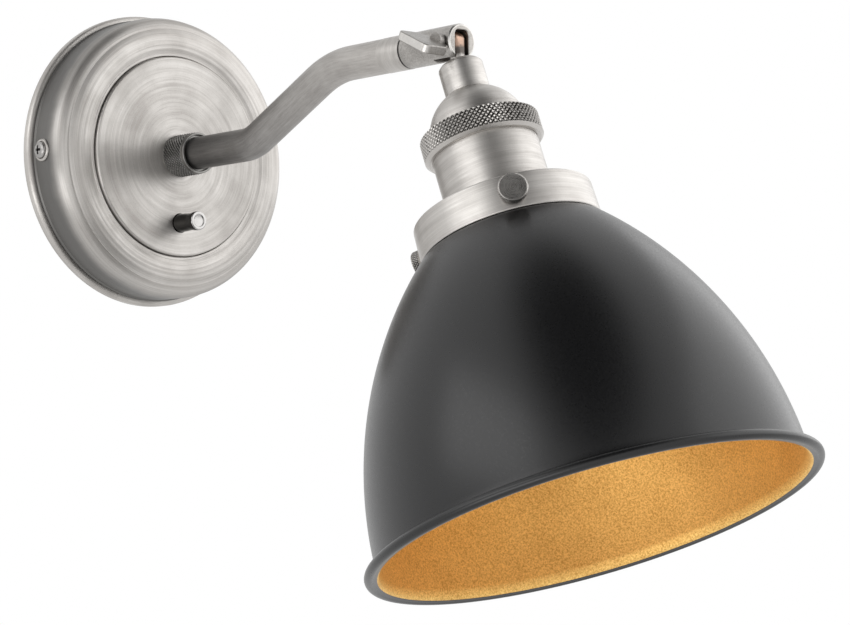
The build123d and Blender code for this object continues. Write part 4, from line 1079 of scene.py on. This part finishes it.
def toward(turn, rise):
    """Direction from the lamp: turn from the front of the picture to its right, and rise."""
    turn, rise = math.radians(turn), math.radians(rise)
    level_way = FRONT * math.cos(turn) + RIGHT * math.sin(turn)
    return level_way * math.cos(rise) + Vector((0, 0, 1)) * math.sin(rise)


def face_lamp(obj, turn, rise, reach):
    """Puts an object at a distance from the lamp and turns it to face the lamp."""
    spot = AIM + toward(turn, rise) * reach
    turned = (AIM - spot).to_track_quat("-Z", "Y").to_matrix().to_4x4()
    obj.matrix_world = Matrix.Translation(spot) @ turned
    bpy.context.scene.collection.objects.link(obj)


def softbox(name, turn, rise, reach, width, height, power):
    lamp = bpy.data.lights.new(name, "AREA")
    lamp.shape = "RECTANGLE"
    lamp.size, lamp.size_y, lamp.energy = width, height, power
    face_lamp(bpy.data.objects.new(name, lamp), turn, rise, reach)


softbox("softbox_right", 108, 24, reach=1.2, width=2.2, height=1.0, power=6.6)
softbox("softbox_left", -56, 24, reach=1.3, width=1.2, height=0.6, power=3.2)
softbox("softbox_low", -30, -18, reach=1.1, width=0.9, height=0.4, power=2.6)

# Grey card in front of the lamp, soft towards its edge and seen in gloss only
card = disc("grey_card", 96, 1.0)
face_lamp(card, turn=3, rise=62, reach=0.95)
card.matrix_world = card.matrix_world @ Matrix.Diagonal((0.66, 1.25, 1.0, 1.0))
card.visible_camera = card.visible_diffuse = card.visible_shadow = False
t = Tree("grey_cloth")
spot = t.add("ShaderNodeTexCoord").outputs["Object"]
distance = t.add("ShaderNodeVectorMath", {0: spot}, operation="LENGTH").outputs["Value"]
shade_of_card = t.ramp(distance, 0.4, 0.98, 0.05, 1.0, soft=True)
glow = t.add("ShaderNodeEmission", {"Color": (1, 1, 1, 1), "Strength": shade_of_card})
t.tree.links.new(glow.outputs[0], t.tree.nodes["Material Output"].inputs[0])
card.data.materials.append(t.material)

# Camera solved from the photograph: focal length in pixels, place in mm, angles in radians
FOCAL, IMAGE_WIDTH, SENSOR = 2600.0, 850, 36.0
CAMERA_PLACE = Vector((-637.9, -865.5, -129.3))
camera = bpy.data.cameras.new("camera")
camera.sensor_fit = "HORIZONTAL"
camera.sensor_width = SENSOR
camera.lens = FOCAL / IMAGE_WIDTH * SENSOR
camera.clip_start, camera.clip_end = 0.05, 20
view = bpy.data.objects.new("camera", camera)
yaw, pitch, roll = 0.7415, 0.0604, 0.020
ahead = Vector((math.sin(yaw) * math.cos(pitch), math.cos(yaw) * math.cos(pitch), math.sin(pitch)))
right = Vector((math.cos(yaw), -math.sin(yaw), 0))
up = right.cross(ahead)
across = math.cos(roll) * right - math.sin(roll) * up
above = math.sin(roll) * right + math.cos(roll) * up
turned = Matrix((across, above, -ahead)).transposed().to_4x4()
view.matrix_world = Matrix.Translation(CAMERA_PLACE * MM) @ turned
bpy.context.scene.collection.objects.link(view)
bpy.context.scene.camera = view
bpy.context.scene.view_settings.view_transform = "Standard"
